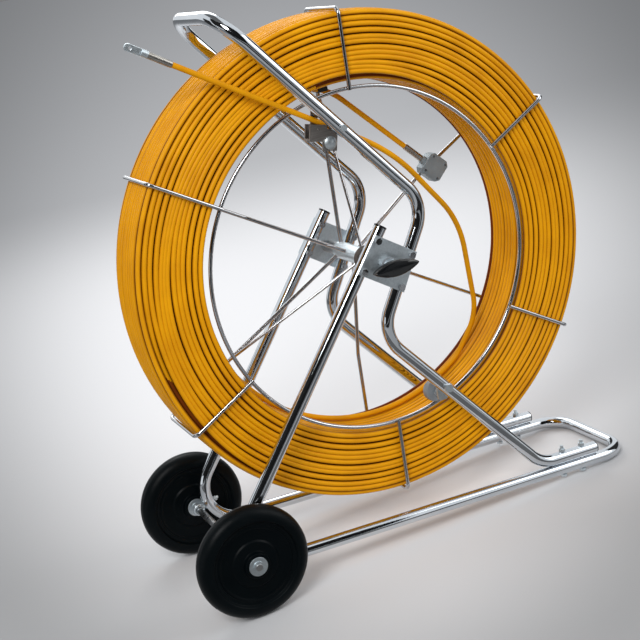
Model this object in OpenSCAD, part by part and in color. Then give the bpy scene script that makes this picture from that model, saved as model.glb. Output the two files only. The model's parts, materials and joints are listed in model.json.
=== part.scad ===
// Rod reel on a two-wheeled tube stand: an open wire cage turns on a spindle
// between two bent-tube frames and holds a coil of glass-fibre rod.
// X runs along the base rails to the U-shaped end, Y from the knob side to the
// far side, Z up. The origin is on the floor under the middle of the part.

/* [Stand] */
// Outside diameter of the frame tube
tube_d = 26; // [22:1:30]
// Wall of the frame tube
tube_wall = 2; // [1.5:0.5:3]
// Distance between the two side frames, tube centre to tube centre
frame_w = 262; // [250:2:290]
// Height of the spindle above the floor
spindle_z = 588; // [575:5:620]
// Distance from the spindle to the U end of the base, along X
base_reach = 498; // [480:2:530]
// Downward slope of the base rails towards the U end, in degrees
rail_slope = 4; // [3:0.5:5]
// Lean of the struts above the horizontal, in degrees
strut_angle = 51; // [49:1:54]
// Distance from the spindle to the strut centreline
strut_offset = 45; // [43:1:50]
// Length of strut above the spindle
strut_top = 60; // [54:1:75]
// Fall of the upper and lower arm legs, in degrees
arm_angle = 51.5; // [50:0.5:54]
// Lean of the arm leg beside the spindle, in degrees
mid_angle = 58.3; // [57:0.1:61]
// Distance from the spindle to that leg
arm_offset = 41; // [39:1:46]
// Length of that leg above the spindle, to the corner
mid_up = 140; // [130:5:150]
// Length of that leg below the spindle, to the corner
mid_down = 137; // [127:5:147]
// Length of the upper arm, from its corner to the handle bar
arm_len = 558; // [530:2:590]
// Distance from the U end back to the cut ends of the arm feet
foot_setback = 84; // [76:2:100]
// Bend radius in the side frames
side_bend_r = 75; // [70:1:80]
// Bend radius at the U end of the base
base_bend_r = 65; // [50:5:80]
// Bend radius at the handle
handle_bend_r = 72; // [55:1:85]

/* [Reel] */
// Radius of the cage, to the centre of the hoop wire
cage_r = 500; // [480:5:510]
// Width of the cage between wire centres
cage_w = 154; // [140:2:160]
// How far the reel sits towards the knob side of the stand
reel_shift = 8; // [0:1:10]
// Number of hoops
hoop_count = 6; // [6]
// Angle of the first hoop above +X, in degrees
hoop_phase = 27.5; // [20:0.5:35]
// Diameter of the hoop and ring wire
wire_d = 8; // [6:1:9]
// Bend radius at the hoop corners
hoop_bend_r = 13; // [10:1:20]
// Gap between the front ring's wire and the inside of the coil
ring_clear = 8; // [6:1:14]
// Diameter of the brace wire
brace_d = 6; // [5:1:7]
// Distance from the inside of the coil to where the braces meet the spokes
brace_clear = 20; // [18:2:58]
// Outside diameter of the hub tube
hub_d = 36; // [34:1:40]
// Length of hub in front of the brace ends
hub_front = 8; // [6:1:12]
// Distance from the brace ends to the spoke plane, along the hub
hub_span = 101; // [95:1:105]

/* [Rod] */
// Diameter of the glass-fibre rod
rod_d = 11; // [9:0.5:11]
// Inner radius of the coil
coil_r = 358; // [356:1:362]
// Layers of rod in the coil, counted outwards
coil_layers = 12; // [10:1:12]
// Turns of rod side by side in each layer
coil_rows = 13; // [11:1:13]
// Diameter of the eye hole in the tip
eye_bore = 7; // [5:0.5:8]
// Thickness of the tip at the eye
eye_flat = 8; // [6:0.5:10]

/* [Wheels] */
// Wheel diameter
wheel_d = 228; // [210:2:250]
// Width of the tyre
tyre_w = 46; // [40:2:54]
// Depth of the tyre band
tyre_band = 36; // [30:2:42]
// Width of the wheel hub
wheel_hub_w = 58; // [56:1:64]
// Distance between the middles of the two wheels
track = 360; // [350:2:380]
// Axle diameter
axle_d = 14; // [12:1:16]

/* [Spindle and brake] */
// Spindle diameter
spindle_d = 16; // [14:1:17]
// Wall of the brake sleeve that turns round the spindle
sleeve_wall = 4; // [3:0.5:4.5]
// Thickness of the hub plates
plate_t = 4; // [3:0.5:6]
// Distance between the two bolts on one tube
bolt_pitch = 66; // [60:2:74]
// Margin of the plates round the bolts
plate_margin = 9; // [8:0.5:12]
// Diameter of the frame bolts
bolt_d = 8; // [6:1:8]
// Length of the knob wing
knob_len = 98; // [80:2:110]
// Width of the knob wing at its middle
knob_w = 32; // [30:1:40]
// Depth of the knob
knob_t = 20; // [16:1:26]
// Travel of the brake shoe
brake_travel = 1.5; // [1:0.1:2]

/* [Guide and roller] */
// Diameter of the roller that steadies the ring
steady_d = 46; // [40:2:50]
// Angle of that roller's axis above +X, seen from the spindle
steady_turn = -75.3; // [-77:0.1:-73]
// Diameter of the lower guide roller
low_roller_d = 18; // [14:1:20]
// Diameter of the upper guide roller
top_roller_d = 12; // [10:1:14]
// Tilt of the guide head, in degrees
guide_tilt = -14; // [-18:1:-10]
// Distance of its bracket's bolt from the corner of the lower arm leg
steady_along = 190.5; // [188:0.5:194]
// Distance of the guide's bolt from the corner of the upper arm
guide_up = 239; // [230:1:250]

/* [Anchor box] */
// Side of the anchor box
box_side = 50; // [44:1:54]
// Depth of the anchor box without its cover
box_t = 24; // [22:1:26]
// Radius from the spindle to the middle of the anchor box
box_r = 264; // [256:2:270]

/* [Clearances] */
// Radial clearance of a turning fit
fit = 0.05; // [0.03:0.01:0.08]
// Gap between pieces that pass each other
gap = 0.4; // [0.3:0.1:0.6]

/* [Hidden] */
$fn = 64;

CHROME = [0.80, 0.81, 0.83];
ZINC = [0.62, 0.66, 0.69];
BLACK = [0.06, 0.06, 0.07];
YELLOW = [0.93, 0.62, 0.07];
GREY = [0.47, 0.49, 0.51];

// how far a straight runs into a bend, and how many times thicker the bend is
lap = 0.4;
swell = 1.0125;
// how far a cut runs past what it cuts, and the play of a bolt in its hole
over = 1;
hole_play = 0.4;

// ---- vectors and lines in the side view ----
function unit(v) = v / norm(v);
function heading(a) = [cos(a), sin(a)];
// where the line through p at angle a meets the line through q at angle b
function meet(p, a, q, b) =
    let(t = ((q.x - p.x) * sin(b) - (q.y - p.y) * cos(b)) / sin(b - a)) p + t * heading(a);
function side(p, y) = [p.x, y, p.y];

// ---- side frame, as [x, z] about a spindle at x = 0 ----
tube_r = tube_d / 2;
rail_angle = -rail_slope;
hub_point = [0, spindle_z];
u_corner = [base_reach, tube_r];
strut_mid = hub_point + strut_offset * heading(strut_angle + 90);
strut_end = strut_mid + strut_top * heading(strut_angle);
heel = meet(strut_mid, strut_angle, u_corner, rail_angle);
mid_point = hub_point + arm_offset * heading(mid_angle - 90);
elbow = mid_point + mid_up * heading(mid_angle);
knee = mid_point - mid_down * heading(mid_angle);
handle_corner = elbow + arm_len * heading(180 - arm_angle);
foot_gap = 0.2;
foot_lift = tube_d + foot_gap;
foot_line = u_corner + foot_lift * heading(rail_angle + 90);
ankle = meet(knee, -arm_angle, foot_line, rail_angle);
foot_end = foot_line - foot_setback * heading(rail_angle);
foot_straight = norm(foot_end - ankle) - side_bend_r * tan((arm_angle - rail_slope) / 2);
frame_y = frame_w / 2;
tube_in = frame_y - tube_r;
tube_out = frame_y + tube_r;
plate_out = tube_out + plate_t;

// ---- wheels ----
wheel_r = wheel_d / 2;
eye_wire = 6;
heel_half = (180 - strut_angle - rail_slope) / 2;
heel_centre = heel + side_bend_r / cos(heel_half) * heading((strut_angle + rail_angle) / 2);
axle_dist = side_bend_r + tube_r + eye_wire + axle_d / 2 + gap;
axle_drop = heel_centre.y - wheel_r;
axle_point = [heel_centre.x - sqrt(axle_dist * axle_dist - axle_drop * axle_drop), wheel_r];
axle_heading = atan2(heel_centre.y - axle_point.y, heel_centre.x - axle_point.x);
wheel_y = track / 2;
washer_t = 3;
washer_d = 38;
clip_t = 2;
axle_stub = 3;
axle_end = wheel_y + wheel_hub_w / 2 + gap + washer_t + clip_t + axle_stub;

// ---- middle of the whole part along X ----
x_low = min(axle_point.x - wheel_r, -cage_r - wire_d / 2);
x_high = max(u_corner.x + tube_r, cage_r + wire_d / 2);
x_mid = (x_low + x_high) / 2;

// ---- reel ----
ring_y = -reel_shift - cage_w / 2;
spoke_y = -reel_shift + cage_w / 2;
wire_r = wire_d / 2;
ring_r = coil_r - wire_r - ring_clear;
brace_r = coil_r - brace_clear;
weld = 0.6;
hub_back = 5;
slant_clear = 7;
slant_bend_r = 40;
leg_ring_y = ring_y + wire_d - weld;
hub_r = hub_d / 2;
brace_y = spoke_y - hub_span;
slant_y = (spoke_y + brace_y) / 2;
slant_r = box_r - box_side / 2 - slant_clear;
hub_lo = brace_y - hub_front;
hub_hi = spoke_y + wire_r + hub_back;
hub_bore = 28;
hub_bush_len = 25;
hoop_step = 360 / hoop_count;
coil_lo = ring_y + wire_r + gap;
coil_hi = spoke_y - wire_r - gap;
coil_out = cage_r - wire_r - gap;
rod_r = rod_d / 2;
layer_step = (coil_out - coil_r - rod_d) / (coil_layers - 1);
row_step = (coil_hi - coil_lo - rod_d) / (coil_rows - 1);

// ---- brake ----
sleeve_in = spindle_d / 2 + fit;
sleeve_out = sleeve_in + sleeve_wall;
bush_wall = 2;
bush_flange_t = 2;
bush_r = sleeve_out + fit + bush_wall;
shoe_t = 14;
shoe_r = 26;
shoe_gap = brake_travel + gap;
shoe_hi = hub_lo - shoe_gap;
shoe_lo = shoe_hi - shoe_t;
pin_d = 6;
PIN_ANGLES = [90, 270];
pin_wall = 4;
pin_at = sleeve_out + pin_d / 2 + pin_wall;
knob_stem = 16;
knob_back = -plate_out - bush_flange_t - gap - knob_stem;
sleeve_depth = 6;

// ---- live rod, as a hand-set route ----
live_y = -101;
turn_r = coil_r - rod_r - gap;
run_y = 20;
run_start = -60;
run_sweep = 95;
run_lead = 26;
turn_point = hub_point + turn_r * heading(run_start);
turn_lead = turn_point + run_lead * heading(run_start + 90);
guide_bolt_at = elbow + guide_up * heading(180 - arm_angle);
guide_from_bolt = [-38.7, -2.6];
tip_from_guide = [-291, 213];
pass_from_guide = [154, -74];
pass_shift = 4;
fall_y = -40;
fall_turn = 4.3;
fall_share = 0.649;
low_y = 5;
low_turn = -39.1;
low_share = 0.937;
guide_at = guide_bolt_at + guide_from_bolt;
tip_at = side(guide_at + tip_from_guide, live_y);
pass_at = side(guide_at + pass_from_guide, live_y + pass_shift);
fall_at = side(hub_point + fall_share * turn_r * heading(fall_turn), fall_y);
low_at = side(hub_point + low_share * turn_r * heading(low_turn), low_y);
LIVE_ROUTE = [tip_at, pass_at, fall_at, low_at,
    side(turn_lead, run_y), side(turn_point - lap * heading(run_start + 90), run_y)];
LIVE_BENDS = [0, 400, 250, 120, 80, 0];
rod_fall = atan2(pass_at.z - tip_at.z, pass_at.x - tip_at.x);
ferrule_len = 48;
tip_wall = 1.2;
tip_len = 46;
tip_r = 7.5;

// ---- guide head, about the middle of its frame, tilted by guide_tilt ----
guide_w = 36;
guide_h = 32;
cheek_t = 4;
guide_lift = 4;
guide_front = -tube_in + guide_lift;
cheek_in = guide_front + cheek_t;
cheek_back = live_y - (cheek_in - live_y);
rod_rise = rise_on_guide(0);
roll_lean = rod_fall - guide_tilt;
low_rise = rod_rise - (rod_r + low_roller_d / 2 + gap) / cos(roll_lean);
top_rise = rod_rise + (rod_r + top_roller_d / 2 + gap) / cos(roll_lean);
guide_pin_d = 5;
// height of the rod above the guide's middle, measured across the guide
function rise_on_guide(along) =
    let(p = guide_at + along * heading(guide_tilt), across = guide_tilt + 90)
    (meet(p, across, [pass_at.x, pass_at.z], rod_fall) - p) * heading(across);

// ---- steadying roller ----
steady_bolt_at = knee + steady_along * heading(-arm_angle);
steady_at = hub_point + (ring_r - wire_r - gap - steady_d / 2) * heading(steady_turn);
steady_back = 2;
steady_w = 18;
steady_hi = leg_ring_y + wire_r + steady_back;
steady_lo = steady_hi - steady_w;
steady_bore = 10;
bracket_t = 4;
bracket_in = -tube_in + bracket_t;
bracket_half = 12;
bracket_cut = 5;

// ---- anchored end of the rod ----
anchor_y = 50;
anchor_bend_r = 130;
leave_drop = 13;
leave_x = 22;
rod_leave = [leave_x, spindle_z + coil_r - leave_drop];
box_at = hub_point + box_r * heading(hoop_phase);
box_turn = atan2(box_at.y - rod_leave.y, box_at.x - rod_leave.x);
box_front = spoke_y - wire_r - box_t;
cover_t = 4;
box_cut = 8;
gland_len = 8;
anchor_from = 96;
anchor_start = hub_point + (coil_r - rod_r - gap) * heading(anchor_from);

// ==== shared shapes ====
module along(a, b) {
    v = b - a;
    translate(a) rotate([0, acos(v.z / norm(v)), atan2(v.y, v.x)]) children();
}
module bar(a, b, d) along(a, b) cylinder(h = norm(b - a), d = d);
module sleeve(h, d, wall) difference() {
    cylinder(h = h, d = d);
    translate([0, 0, -over]) cylinder(h = h + 2 * over, d = d - 2 * wall);
}
function half_angle(a, p, b) = acos(unit(a - p) * unit(b - p)) / 2;
function setback(pts, bends, i) =
    bends[i] == 0 ? 0 : bends[i] / tan(half_angle(pts[i - 1], pts[i], pts[i + 1]));
module bend(a, p, b, r, d) {
    u = unit(a - p);
    w = unit(b - p);
    h = half_angle(a, p, b);
    c = p + unit(u + w) * r / sin(h);
    ex = unit(p + u * r / tan(h) - c);
    ez = unit(cross(ex, p + w * r / tan(h) - c));
    ey = cross(ez, ex);
    multmatrix([[ex.x, ey.x, ez.x, c.x], [ex.y, ey.y, ez.y, c.y], [ex.z, ey.z, ez.z, c.z], [0, 0, 0, 1]])
        rotate_extrude(angle = 180 - 2 * h) translate([r, 0]) circle(d = d);
}
// a bar through pts, bent to the radius given for each point: its straights run a little way into its
// bends, which are a hair thicker
module bent_bar(pts, bends, d, run_on) {
    last = len(pts) - 1;
    for (i = [0:last - 1]) {
        u = unit(pts[i + 1] - pts[i]);
        a = pts[i] + u * (i == 0 ? -run_on : setback(pts, bends, i) - lap);
        b = pts[i + 1] - u * (i == last - 1 ? -run_on : setback(pts, bends, i + 1) - lap);
        bar(a, b, d);
    }
    for (i = [1:last - 1]) bend(pts[i - 1], pts[i], pts[i + 1], bends[i], d * swell);
}
module bent(pts, bends, d, wall = 0) difference() {
    bent_bar(pts, bends, d, 0);
    if (wall > 0) bent_bar(pts, bends, d - 2 * wall, over);
}
// a piece round an axis along Y through the side-view point p
module on_axis(p) translate(side(p, 0)) rotate([-90, 0, 0]) children();
module spin(p) on_axis(p) rotate_extrude() children();
module disc(p, y0, y1, d) on_axis(p) translate([0, 0, y0]) cylinder(h = y1 - y0, d = d);
module washer(p, y0, y1, d, bore) on_axis(p) translate([0, 0, y0]) sleeve(y1 - y0, d, (d - bore) / 2);
module hexagon(p, y0, y1, af) on_axis(p) translate([0, 0, y0])
    cylinder(h = y1 - y0, d = af / cos(30), $fn = 6);
module hex_nut(p, y0, y1, af, bore) difference() {
    hexagon(p, y0, y1, af);
    disc(p, y0 - over, y1 + over, bore);
}
module slab(y0, y1) translate([0, y1, 0]) rotate([90, 0, 0]) linear_extrude(y1 - y0) children();
module both() for (s = [-1, 1]) scale_y(s) children();
module scale_y(s) {
    if (s < 0) mirror([0, 1, 0]) children();
    else children();
}
module centred() translate([-x_mid, 0, 0]) children();

// ==== stand ====
side_bolts = [for (s = [-1, 1]) strut_mid + s * bolt_pitch / 2 * heading(strut_angle),
    for (s = [-1, 1]) mid_point + s * bolt_pitch / 2 * heading(mid_angle)];
FOOT_BOLT_SHARES = [0.32, 0.793];
rail_low = -foot_lift - tube_r;
function foot_bolt_at(i) =
    foot_line - (foot_setback + FOOT_BOLT_SHARES[i] * foot_straight) * heading(rail_angle);
module side_holes() for (p = side_bolts) disc(p, -plate_out - over, plate_out + over, bolt_d + hole_play);
module foot_axis(i) translate(side(foot_bolt_at(i), 0)) rotate([0, -rail_angle, 0]) children();
module foot_holes() for (i = [0, 1]) both() foot_axis(i) translate([0, frame_y, rail_low - over])
    cylinder(h = tube_r - rail_low + 2 * over, d = bolt_d + hole_play);
module eye_axis() translate(side(axle_point, frame_y)) rotate([0, 90 - axle_heading, 0]) children();

module base_tube() centred() color(CHROME) difference() {
    bent([side(strut_end, -frame_y), side(heel, -frame_y), side(u_corner, -frame_y),
        side(u_corner, frame_y), side(heel, frame_y), side(strut_end, frame_y)],
        [0, side_bend_r, base_bend_r, base_bend_r, side_bend_r, 0], tube_d, tube_wall);
    side_holes();
    foot_holes();
    both() eye_axis() translate([0, 0, axle_d / 2 + eye_wire])
        cylinder(h = tube_d + over, d = eye_wire + hole_play);
}
module handle_tube() centred() color(CHROME) difference() {
    bent([side(foot_end, -frame_y), side(ankle, -frame_y), side(knee, -frame_y), side(elbow, -frame_y),
        side(handle_corner, -frame_y), side(handle_corner, frame_y), side(elbow, frame_y),
        side(knee, frame_y), side(ankle, frame_y), side(foot_end, frame_y)],
        [0, side_bend_r, side_bend_r, side_bend_r, handle_bend_r, handle_bend_r,
        side_bend_r, side_bend_r, side_bend_r, 0], tube_d, tube_wall);
    side_holes();
    foot_holes();
    disc(guide_bolt_at, -tube_out - over, -tube_in + over, bolt_d + hole_play);
    disc(steady_bolt_at, -tube_out - over, -tube_in + over, steady_bore + hole_play);
}
plug_len = 12;
strut_cap_t = 4;
foot_cap_t = 2.5;
module end_cap(p, angle, rim) translate(p) rotate([0, 90 - angle, 0]) {
    cylinder(h = rim, d = tube_d);
    translate([0, 0, -plug_len]) cylinder(h = plug_len, d = tube_d - 2 * tube_wall);
}
module strut_caps() centred() color(BLACK) both() end_cap(side(strut_end, frame_y), strut_angle, strut_cap_t);
module foot_caps() centred() color(BLACK) both() end_cap(side(foot_end, frame_y), rail_angle, foot_cap_t);

plate_outline = [
    side_bolts[0] + plate_margin * (-heading(strut_angle) + heading(strut_angle + 90)),
    side_bolts[1] + plate_margin * (heading(strut_angle) + heading(strut_angle + 90)),
    side_bolts[3] + plate_margin * (heading(mid_angle) - heading(mid_angle + 90)),
    side_bolts[2] + plate_margin * (-heading(mid_angle) - heading(mid_angle + 90))];
module hub_plate(bore) difference() {
    slab(tube_out, plate_out) polygon(plate_outline);
    disc(hub_point, tube_out - over, plate_out + over, bore);
    side_holes();
}
module hub_plate_front() centred() color(ZINC) mirror([0, 1, 0]) hub_plate(2 * bush_r);
module hub_plate_rear() centred() color(ZINC) hub_plate(spindle_d);

head_t = 5.3;
nut_t = 6.5;
bolt_af = 13;
bolt_over = 2;
foot_over = 7;
module side_bolt(p) {
    hexagon(p, plate_out, plate_out + head_t, bolt_af);
    disc(p, tube_in - nut_t - bolt_over, plate_out, bolt_d);
}
module plate_bolts() centred() color(ZINC) both() for (p = side_bolts) side_bolt(p);
module plate_nuts() centred() color(ZINC) both() for (p = side_bolts)
    hex_nut(p, tube_in - nut_t, tube_in, bolt_af, bolt_d);
module foot_bolts() centred() color(ZINC) both() for (i = [0, 1]) foot_axis(i) translate([0, frame_y, 0]) {
    translate([0, 0, rail_low - head_t]) cylinder(h = head_t, d = bolt_af / cos(30), $fn = 6);
    translate([0, 0, rail_low]) cylinder(h = tube_r - rail_low + nut_t + foot_over, d = bolt_d);
}
module foot_nuts() centred() color(ZINC) both() for (i = [0, 1]) foot_axis(i) translate([0, frame_y, tube_r])
    difference() {
        cylinder(h = nut_t, d = bolt_af / cos(30), $fn = 6);
        translate([0, 0, -over]) cylinder(h = nut_t + 2 * over, d = bolt_d);
    }

// ==== spindle ====
spindle_af = 24;
spindle_nut_t = 13;
spindle_front = 12;
spindle_over = 4;
spindle_washer_t = 3;
spindle_washer_d = 32;
spindle_back = plate_out + spindle_washer_t + spindle_nut_t + spindle_over;
collar_t = 1.2;
collar_step = 3;
spacer_d = 27;
bush_flange_step = 3;
bush_in = 2;
module spindle() centred() color(CHROME) union() {
    disc(hub_point, -plate_out - spindle_front, spindle_back, spindle_d);
    disc(hub_point, hub_lo - gap - collar_t, hub_lo - gap, spindle_d + 2 * collar_step);
}
module spindle_nut() centred() color(ZINC) union() {
    translate([0, plate_out + spindle_washer_t, 0])
        hex_nut(hub_point, 0, spindle_nut_t, spindle_af, spindle_d);
    washer(hub_point, plate_out, plate_out + spindle_washer_t, spindle_washer_d, spindle_d);
}
module rear_spacer() centred() color(ZINC) washer(hub_point, hub_hi + gap, tube_out, spacer_d, spindle_d);
module plate_bush() centred() color(GREY) difference() {
    union() {
        disc(hub_point, -plate_out - bush_flange_t, -plate_out, 2 * (bush_r + bush_flange_step));
        disc(hub_point, -plate_out, -tube_out + bush_in, 2 * bush_r);
    }
    disc(hub_point, -plate_out - bush_flange_t - over, -tube_out + bush_in + over, 2 * (sleeve_out + fit));
}
module shoe_pins() centred() color(ZINC) for (a = PIN_ANGLES)
    disc(hub_point + pin_at * heading(a), -tube_out, shoe_lo + shoe_t / 2, pin_d);

// ==== axle ====
module wheel_axle() centred() color(CHROME) disc(axle_point, -axle_end, axle_end, axle_d);
eye_over = 6;
axle_nut_t = 5;
axle_nut_af = 10;
nut_off_tube = 0.5;
axle_nut_at = axle_dist - side_bend_r + tube_r + nut_off_tube;
clip_step = 4;
eye_ring_wire = swell * eye_wire;
module axle_eye_bolts() centred() color(ZINC) both() {
    translate(side(axle_point, frame_y)) rotate([90, 0, 0]) rotate_extrude()
        translate([(axle_d + eye_ring_wire) / 2, 0]) circle(d = eye_ring_wire);
    eye_axis() difference() {
        translate([0, 0, (axle_d + eye_wire) / 2])
            cylinder(h = axle_nut_at + eye_over - axle_d / 2, d = eye_wire);
        rotate([90, 0, 0]) translate([0, 0, -eye_wire]) cylinder(h = 2 * eye_wire, d = axle_d);
    }
}
module axle_nuts() centred() color(ZINC) both() eye_axis() translate([0, 0, axle_nut_at]) difference() {
    cylinder(h = axle_nut_t, d = axle_nut_af / cos(30), $fn = 6);
    translate([0, 0, -over]) cylinder(h = axle_nut_t + 2 * over, d = eye_wire);
}
hub_face_in = wheel_y - wheel_hub_w / 2;
hub_face_out = wheel_y + wheel_hub_w / 2;
washer_in = hub_face_in - gap - washer_t;
washer_out = hub_face_out + gap + washer_t;
clip_d = axle_d + 2 * clip_step;
module wheel_washers() centred() color(ZINC) both() {
    washer(axle_point, washer_in, washer_in + washer_t, washer_d, axle_d);
    washer(axle_point, washer_out - washer_t, washer_out, washer_d, axle_d);
}
module axle_clips() centred() color(GREY) both() {
    washer(axle_point, washer_in - clip_t, washer_in, clip_d, axle_d);
    washer(axle_point, washer_out, washer_out + clip_t, clip_d, axle_d);
}
core_r = wheel_r - tyre_band;
core_step = 7;
core_w = tyre_w - 2 * core_step;
boss_r = 26;
seat_depth = 8;
shoulder = 0.44 * tyre_w;
module tyre_section() difference() {
    intersection() {
        union() {
            square([tyre_band - shoulder, tyre_w]);
            translate([0, shoulder]) square([tyre_band, tyre_w - 2 * shoulder]);
            for (y = [shoulder, tyre_w - shoulder]) translate([tyre_band - shoulder, y]) circle(r = shoulder);
        }
        square([tyre_band, tyre_w]);
    }
    for (y = [-over, tyre_w - core_step]) translate([-over, y]) square([seat_depth + over, core_step + over]);
}
module tyre() spin(axle_point) translate([core_r, wheel_y - tyre_w / 2]) tyre_section();
module core() difference() {
    union() {
        disc(axle_point, wheel_y - core_w / 2, wheel_y + core_w / 2, 2 * core_r);
        disc(axle_point, hub_face_in, hub_face_out, 2 * boss_r);
    }
    disc(axle_point, hub_face_in - over, hub_face_out + over, axle_d + 2 * fit);
}
module tyre_front() centred() color(BLACK) mirror([0, 1, 0]) tyre();
module tyre_rear() centred() color(BLACK) tyre();
module wheel_core_front() centred() color(BLACK) mirror([0, 1, 0]) core();
module wheel_core_rear() centred() color(BLACK) core();

// ==== reel ====
module at_hoop(k) translate(side(hub_point, 0)) rotate([0, -hoop_phase - (k - 1) * hoop_step, 0]) children();
module hub_stock() disc(hub_point, hub_lo, hub_hi, hub_d);
module ring_stock() spin(hub_point) translate([ring_r, leg_ring_y]) circle(d = wire_d);
leg_in = 1;
root = 3;
function slants(k) = k % 2 == 1;
// a hoop from its leg on the ring to the hub: every second one slants in to the middle of the hub
function hoop_route(k) = concat(
    [[ring_r - wire_r + leg_in, ring_y, 0], [cage_r, ring_y, 0], [cage_r, spoke_y, 0]],
    slants(k) ? [[slant_r, spoke_y, 0], [hub_r - root, slant_y, 0]] : [[hub_r - root, spoke_y, 0]]);
function hoop_bends(k) = concat([0, hoop_bend_r, hoop_bend_r], slants(k) ? [slant_bend_r, 0] : [0]);
module hoop_stock(k) at_hoop(k) bent(hoop_route(k), hoop_bends(k), wire_d);
module hoop(k) centred() color(CHROME) difference() {
    hoop_stock(k);
    ring_stock();
    hub_stock();
}
module brace(k) centred() color(CHROME) difference() {
    at_hoop(k) bar([hub_r - root, brace_y, 0], [brace_r, spoke_y, 0], brace_d);
    at_hoop(k) bar([0, spoke_y, 0], [cage_r, spoke_y, 0], wire_d);
    hub_stock();
}
module reel_hub() centred() color(CHROME) difference() {
    hub_stock();
    disc(hub_point, hub_lo - over, hub_hi + over, hub_bore);
}
module hub_bushes() centred() color(GREY) {
    washer(hub_point, hub_lo, hub_lo + hub_bush_len, hub_bore, spindle_d + 2 * fit);
    washer(hub_point, hub_hi - hub_bush_len, hub_hi, hub_bore, spindle_d + 2 * fit);
}
module front_ring() centred() color(CHROME) ring_stock();
last_layer = coil_layers - 1;
last_row = coil_rows - 1;
module coil_turn(i, j) translate([i * layer_step, j * row_step]) circle(d = rod_d);
// the outer corners stay empty, where the hoops bend
module rod_coil() centred() color(YELLOW) spin(hub_point) translate([coil_r + rod_r, coil_lo + rod_r]) {
    square([last_layer * layer_step, last_row * row_step]);
    for (i = [0:last_layer - 1], j = [0, last_row]) coil_turn(i, j);
    for (i = [0, last_layer], j = [1:last_row - 1]) coil_turn(i, j);
}

// ==== anchored end ====
ferrule_free = 50;
box_half = box_side / 2;
gland_at = box_at - (box_half + gland_len) * heading(box_turn);
ferrule_wall = 1.5;
gland_step = 3.5;
module anchored_stock() bent([for (p = [anchor_start, rod_leave, gland_at]) side(p, anchor_y)],
    [0, anchor_bend_r, 0], rod_d);
module anchored_rod() centred() color(YELLOW) anchored_stock();
module box_frame() translate(side(box_at, 0)) rotate([0, -box_turn, 0]) children();
module anchor_ferrule() centred() color(ZINC) box_frame()
    translate([-box_half - gland_len - ferrule_free, anchor_y, 0]) rotate([0, 90, 0])
        sleeve(ferrule_free, rod_d + 2 * ferrule_wall, ferrule_wall);
box_edge = box_half - box_cut;
module box_outline() polygon([[box_half, box_edge], [box_edge, box_half], [-box_edge, box_half],
    [-box_half, box_edge], [-box_half, -box_edge], [-box_edge, -box_half], [box_edge, -box_half],
    [box_half, -box_edge]]);
module anchor_box() centred() color(GREY) box_frame() {
    slab(box_front, spoke_y - wire_r) box_outline();
    translate([-box_half - gland_len, anchor_y, 0]) rotate([0, 90, 0])
        cylinder(h = gland_len, r = rod_r + gland_step);
}
module anchor_cover() centred() color(GREY) box_frame() slab(box_front - cover_t, box_front) box_outline();
strap_t = 3;
strap_w = 20;
strap_len = 30;
screw_in = 8;
screw_d = 5;
screw_t = 1.5;
module anchor_fixings() centred() color(ZINC) box_frame() {
    for (x = [-1, 1], z = [-1, 1]) translate([x, 0, z] * (box_half - screw_in))
        disc([0, 0], box_front - cover_t - screw_t, box_front - cover_t, screw_d);
    difference() {
        slab(spoke_y - wire_r, spoke_y + wire_r + strap_t) square([strap_len, strap_w], center = true);
        rotate([0, box_turn - hoop_phase, 0]) bar([-strap_len, spoke_y, 0], [strap_len, spoke_y, 0], wire_d);
    }
}
clip_wall = 3;
clip_w = 20;
clip_h = 17;
clip_out = 16;
clip_drop = 10;
clip_lo = anchor_y - rod_r - clip_wall;
clip_hi = spoke_y + wire_r + clip_wall;
module rod_clip() centred() color(BLACK) difference() {
    translate([rod_leave.x - clip_out, clip_lo, rod_leave.y - clip_drop])
        cube([clip_w, clip_hi - clip_lo, clip_h]);
    anchored_stock();
    at_hoop(2) bar([coil_r - ring_r, spoke_y, 0], [cage_r, spoke_y, 0], wire_d);
    spin(hub_point) translate([coil_r - gap, coil_lo]) square([rod_leave.y, coil_hi - coil_lo + 2 * over]);
}

// ==== brake ====
module knob_wing() intersection_for(s = [-1, 1])
    translate([0, s * ((knob_w / 2) - knob_arc)]) circle(r = knob_arc, $fn = 128);
knob_arc = (pow(knob_len / 2, 2) + pow(knob_w / 2, 2)) / knob_w;
module brake_knob() centred() color(BLACK) difference() {
    translate(side(hub_point, 0)) slab(knob_back - knob_t, knob_back) knob_wing();
    disc(hub_point, knob_back - sleeve_depth, knob_back + over, 2 * sleeve_out);
}
sleeve_short = 2;
stem_step = 2.5;
keeper_step = 1.5;
keeper_t = 1.5;
keeper_at = -tube_out + bush_in + gap;
pin_play = 0.8;
pin_clear = 3;
pin_hole_end = shoe_lo + shoe_t / 2 + pin_clear;
module knob_sleeve() centred() color(ZINC) difference() {
    union() {
        disc(hub_point, knob_back - sleeve_depth, shoe_hi - sleeve_short, 2 * sleeve_out);
        disc(hub_point, knob_back, knob_back + knob_stem, 2 * (sleeve_out + stem_step));
        disc(hub_point, keeper_at, keeper_at + keeper_t, 2 * (sleeve_out + keeper_step));
    }
    disc(hub_point, -plate_out - spindle_front - over, shoe_hi, 2 * sleeve_in);
}
module brake_shoe() centred() color(GREY) difference() {
    disc(hub_point, shoe_lo, shoe_hi, 2 * shoe_r);
    disc(hub_point, shoe_lo - over, shoe_hi + over, 2 * (sleeve_out + fit));
    for (a = PIN_ANGLES)
        disc(hub_point + pin_at * heading(a), shoe_lo - over, pin_hole_end, pin_d + pin_play);
}

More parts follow.
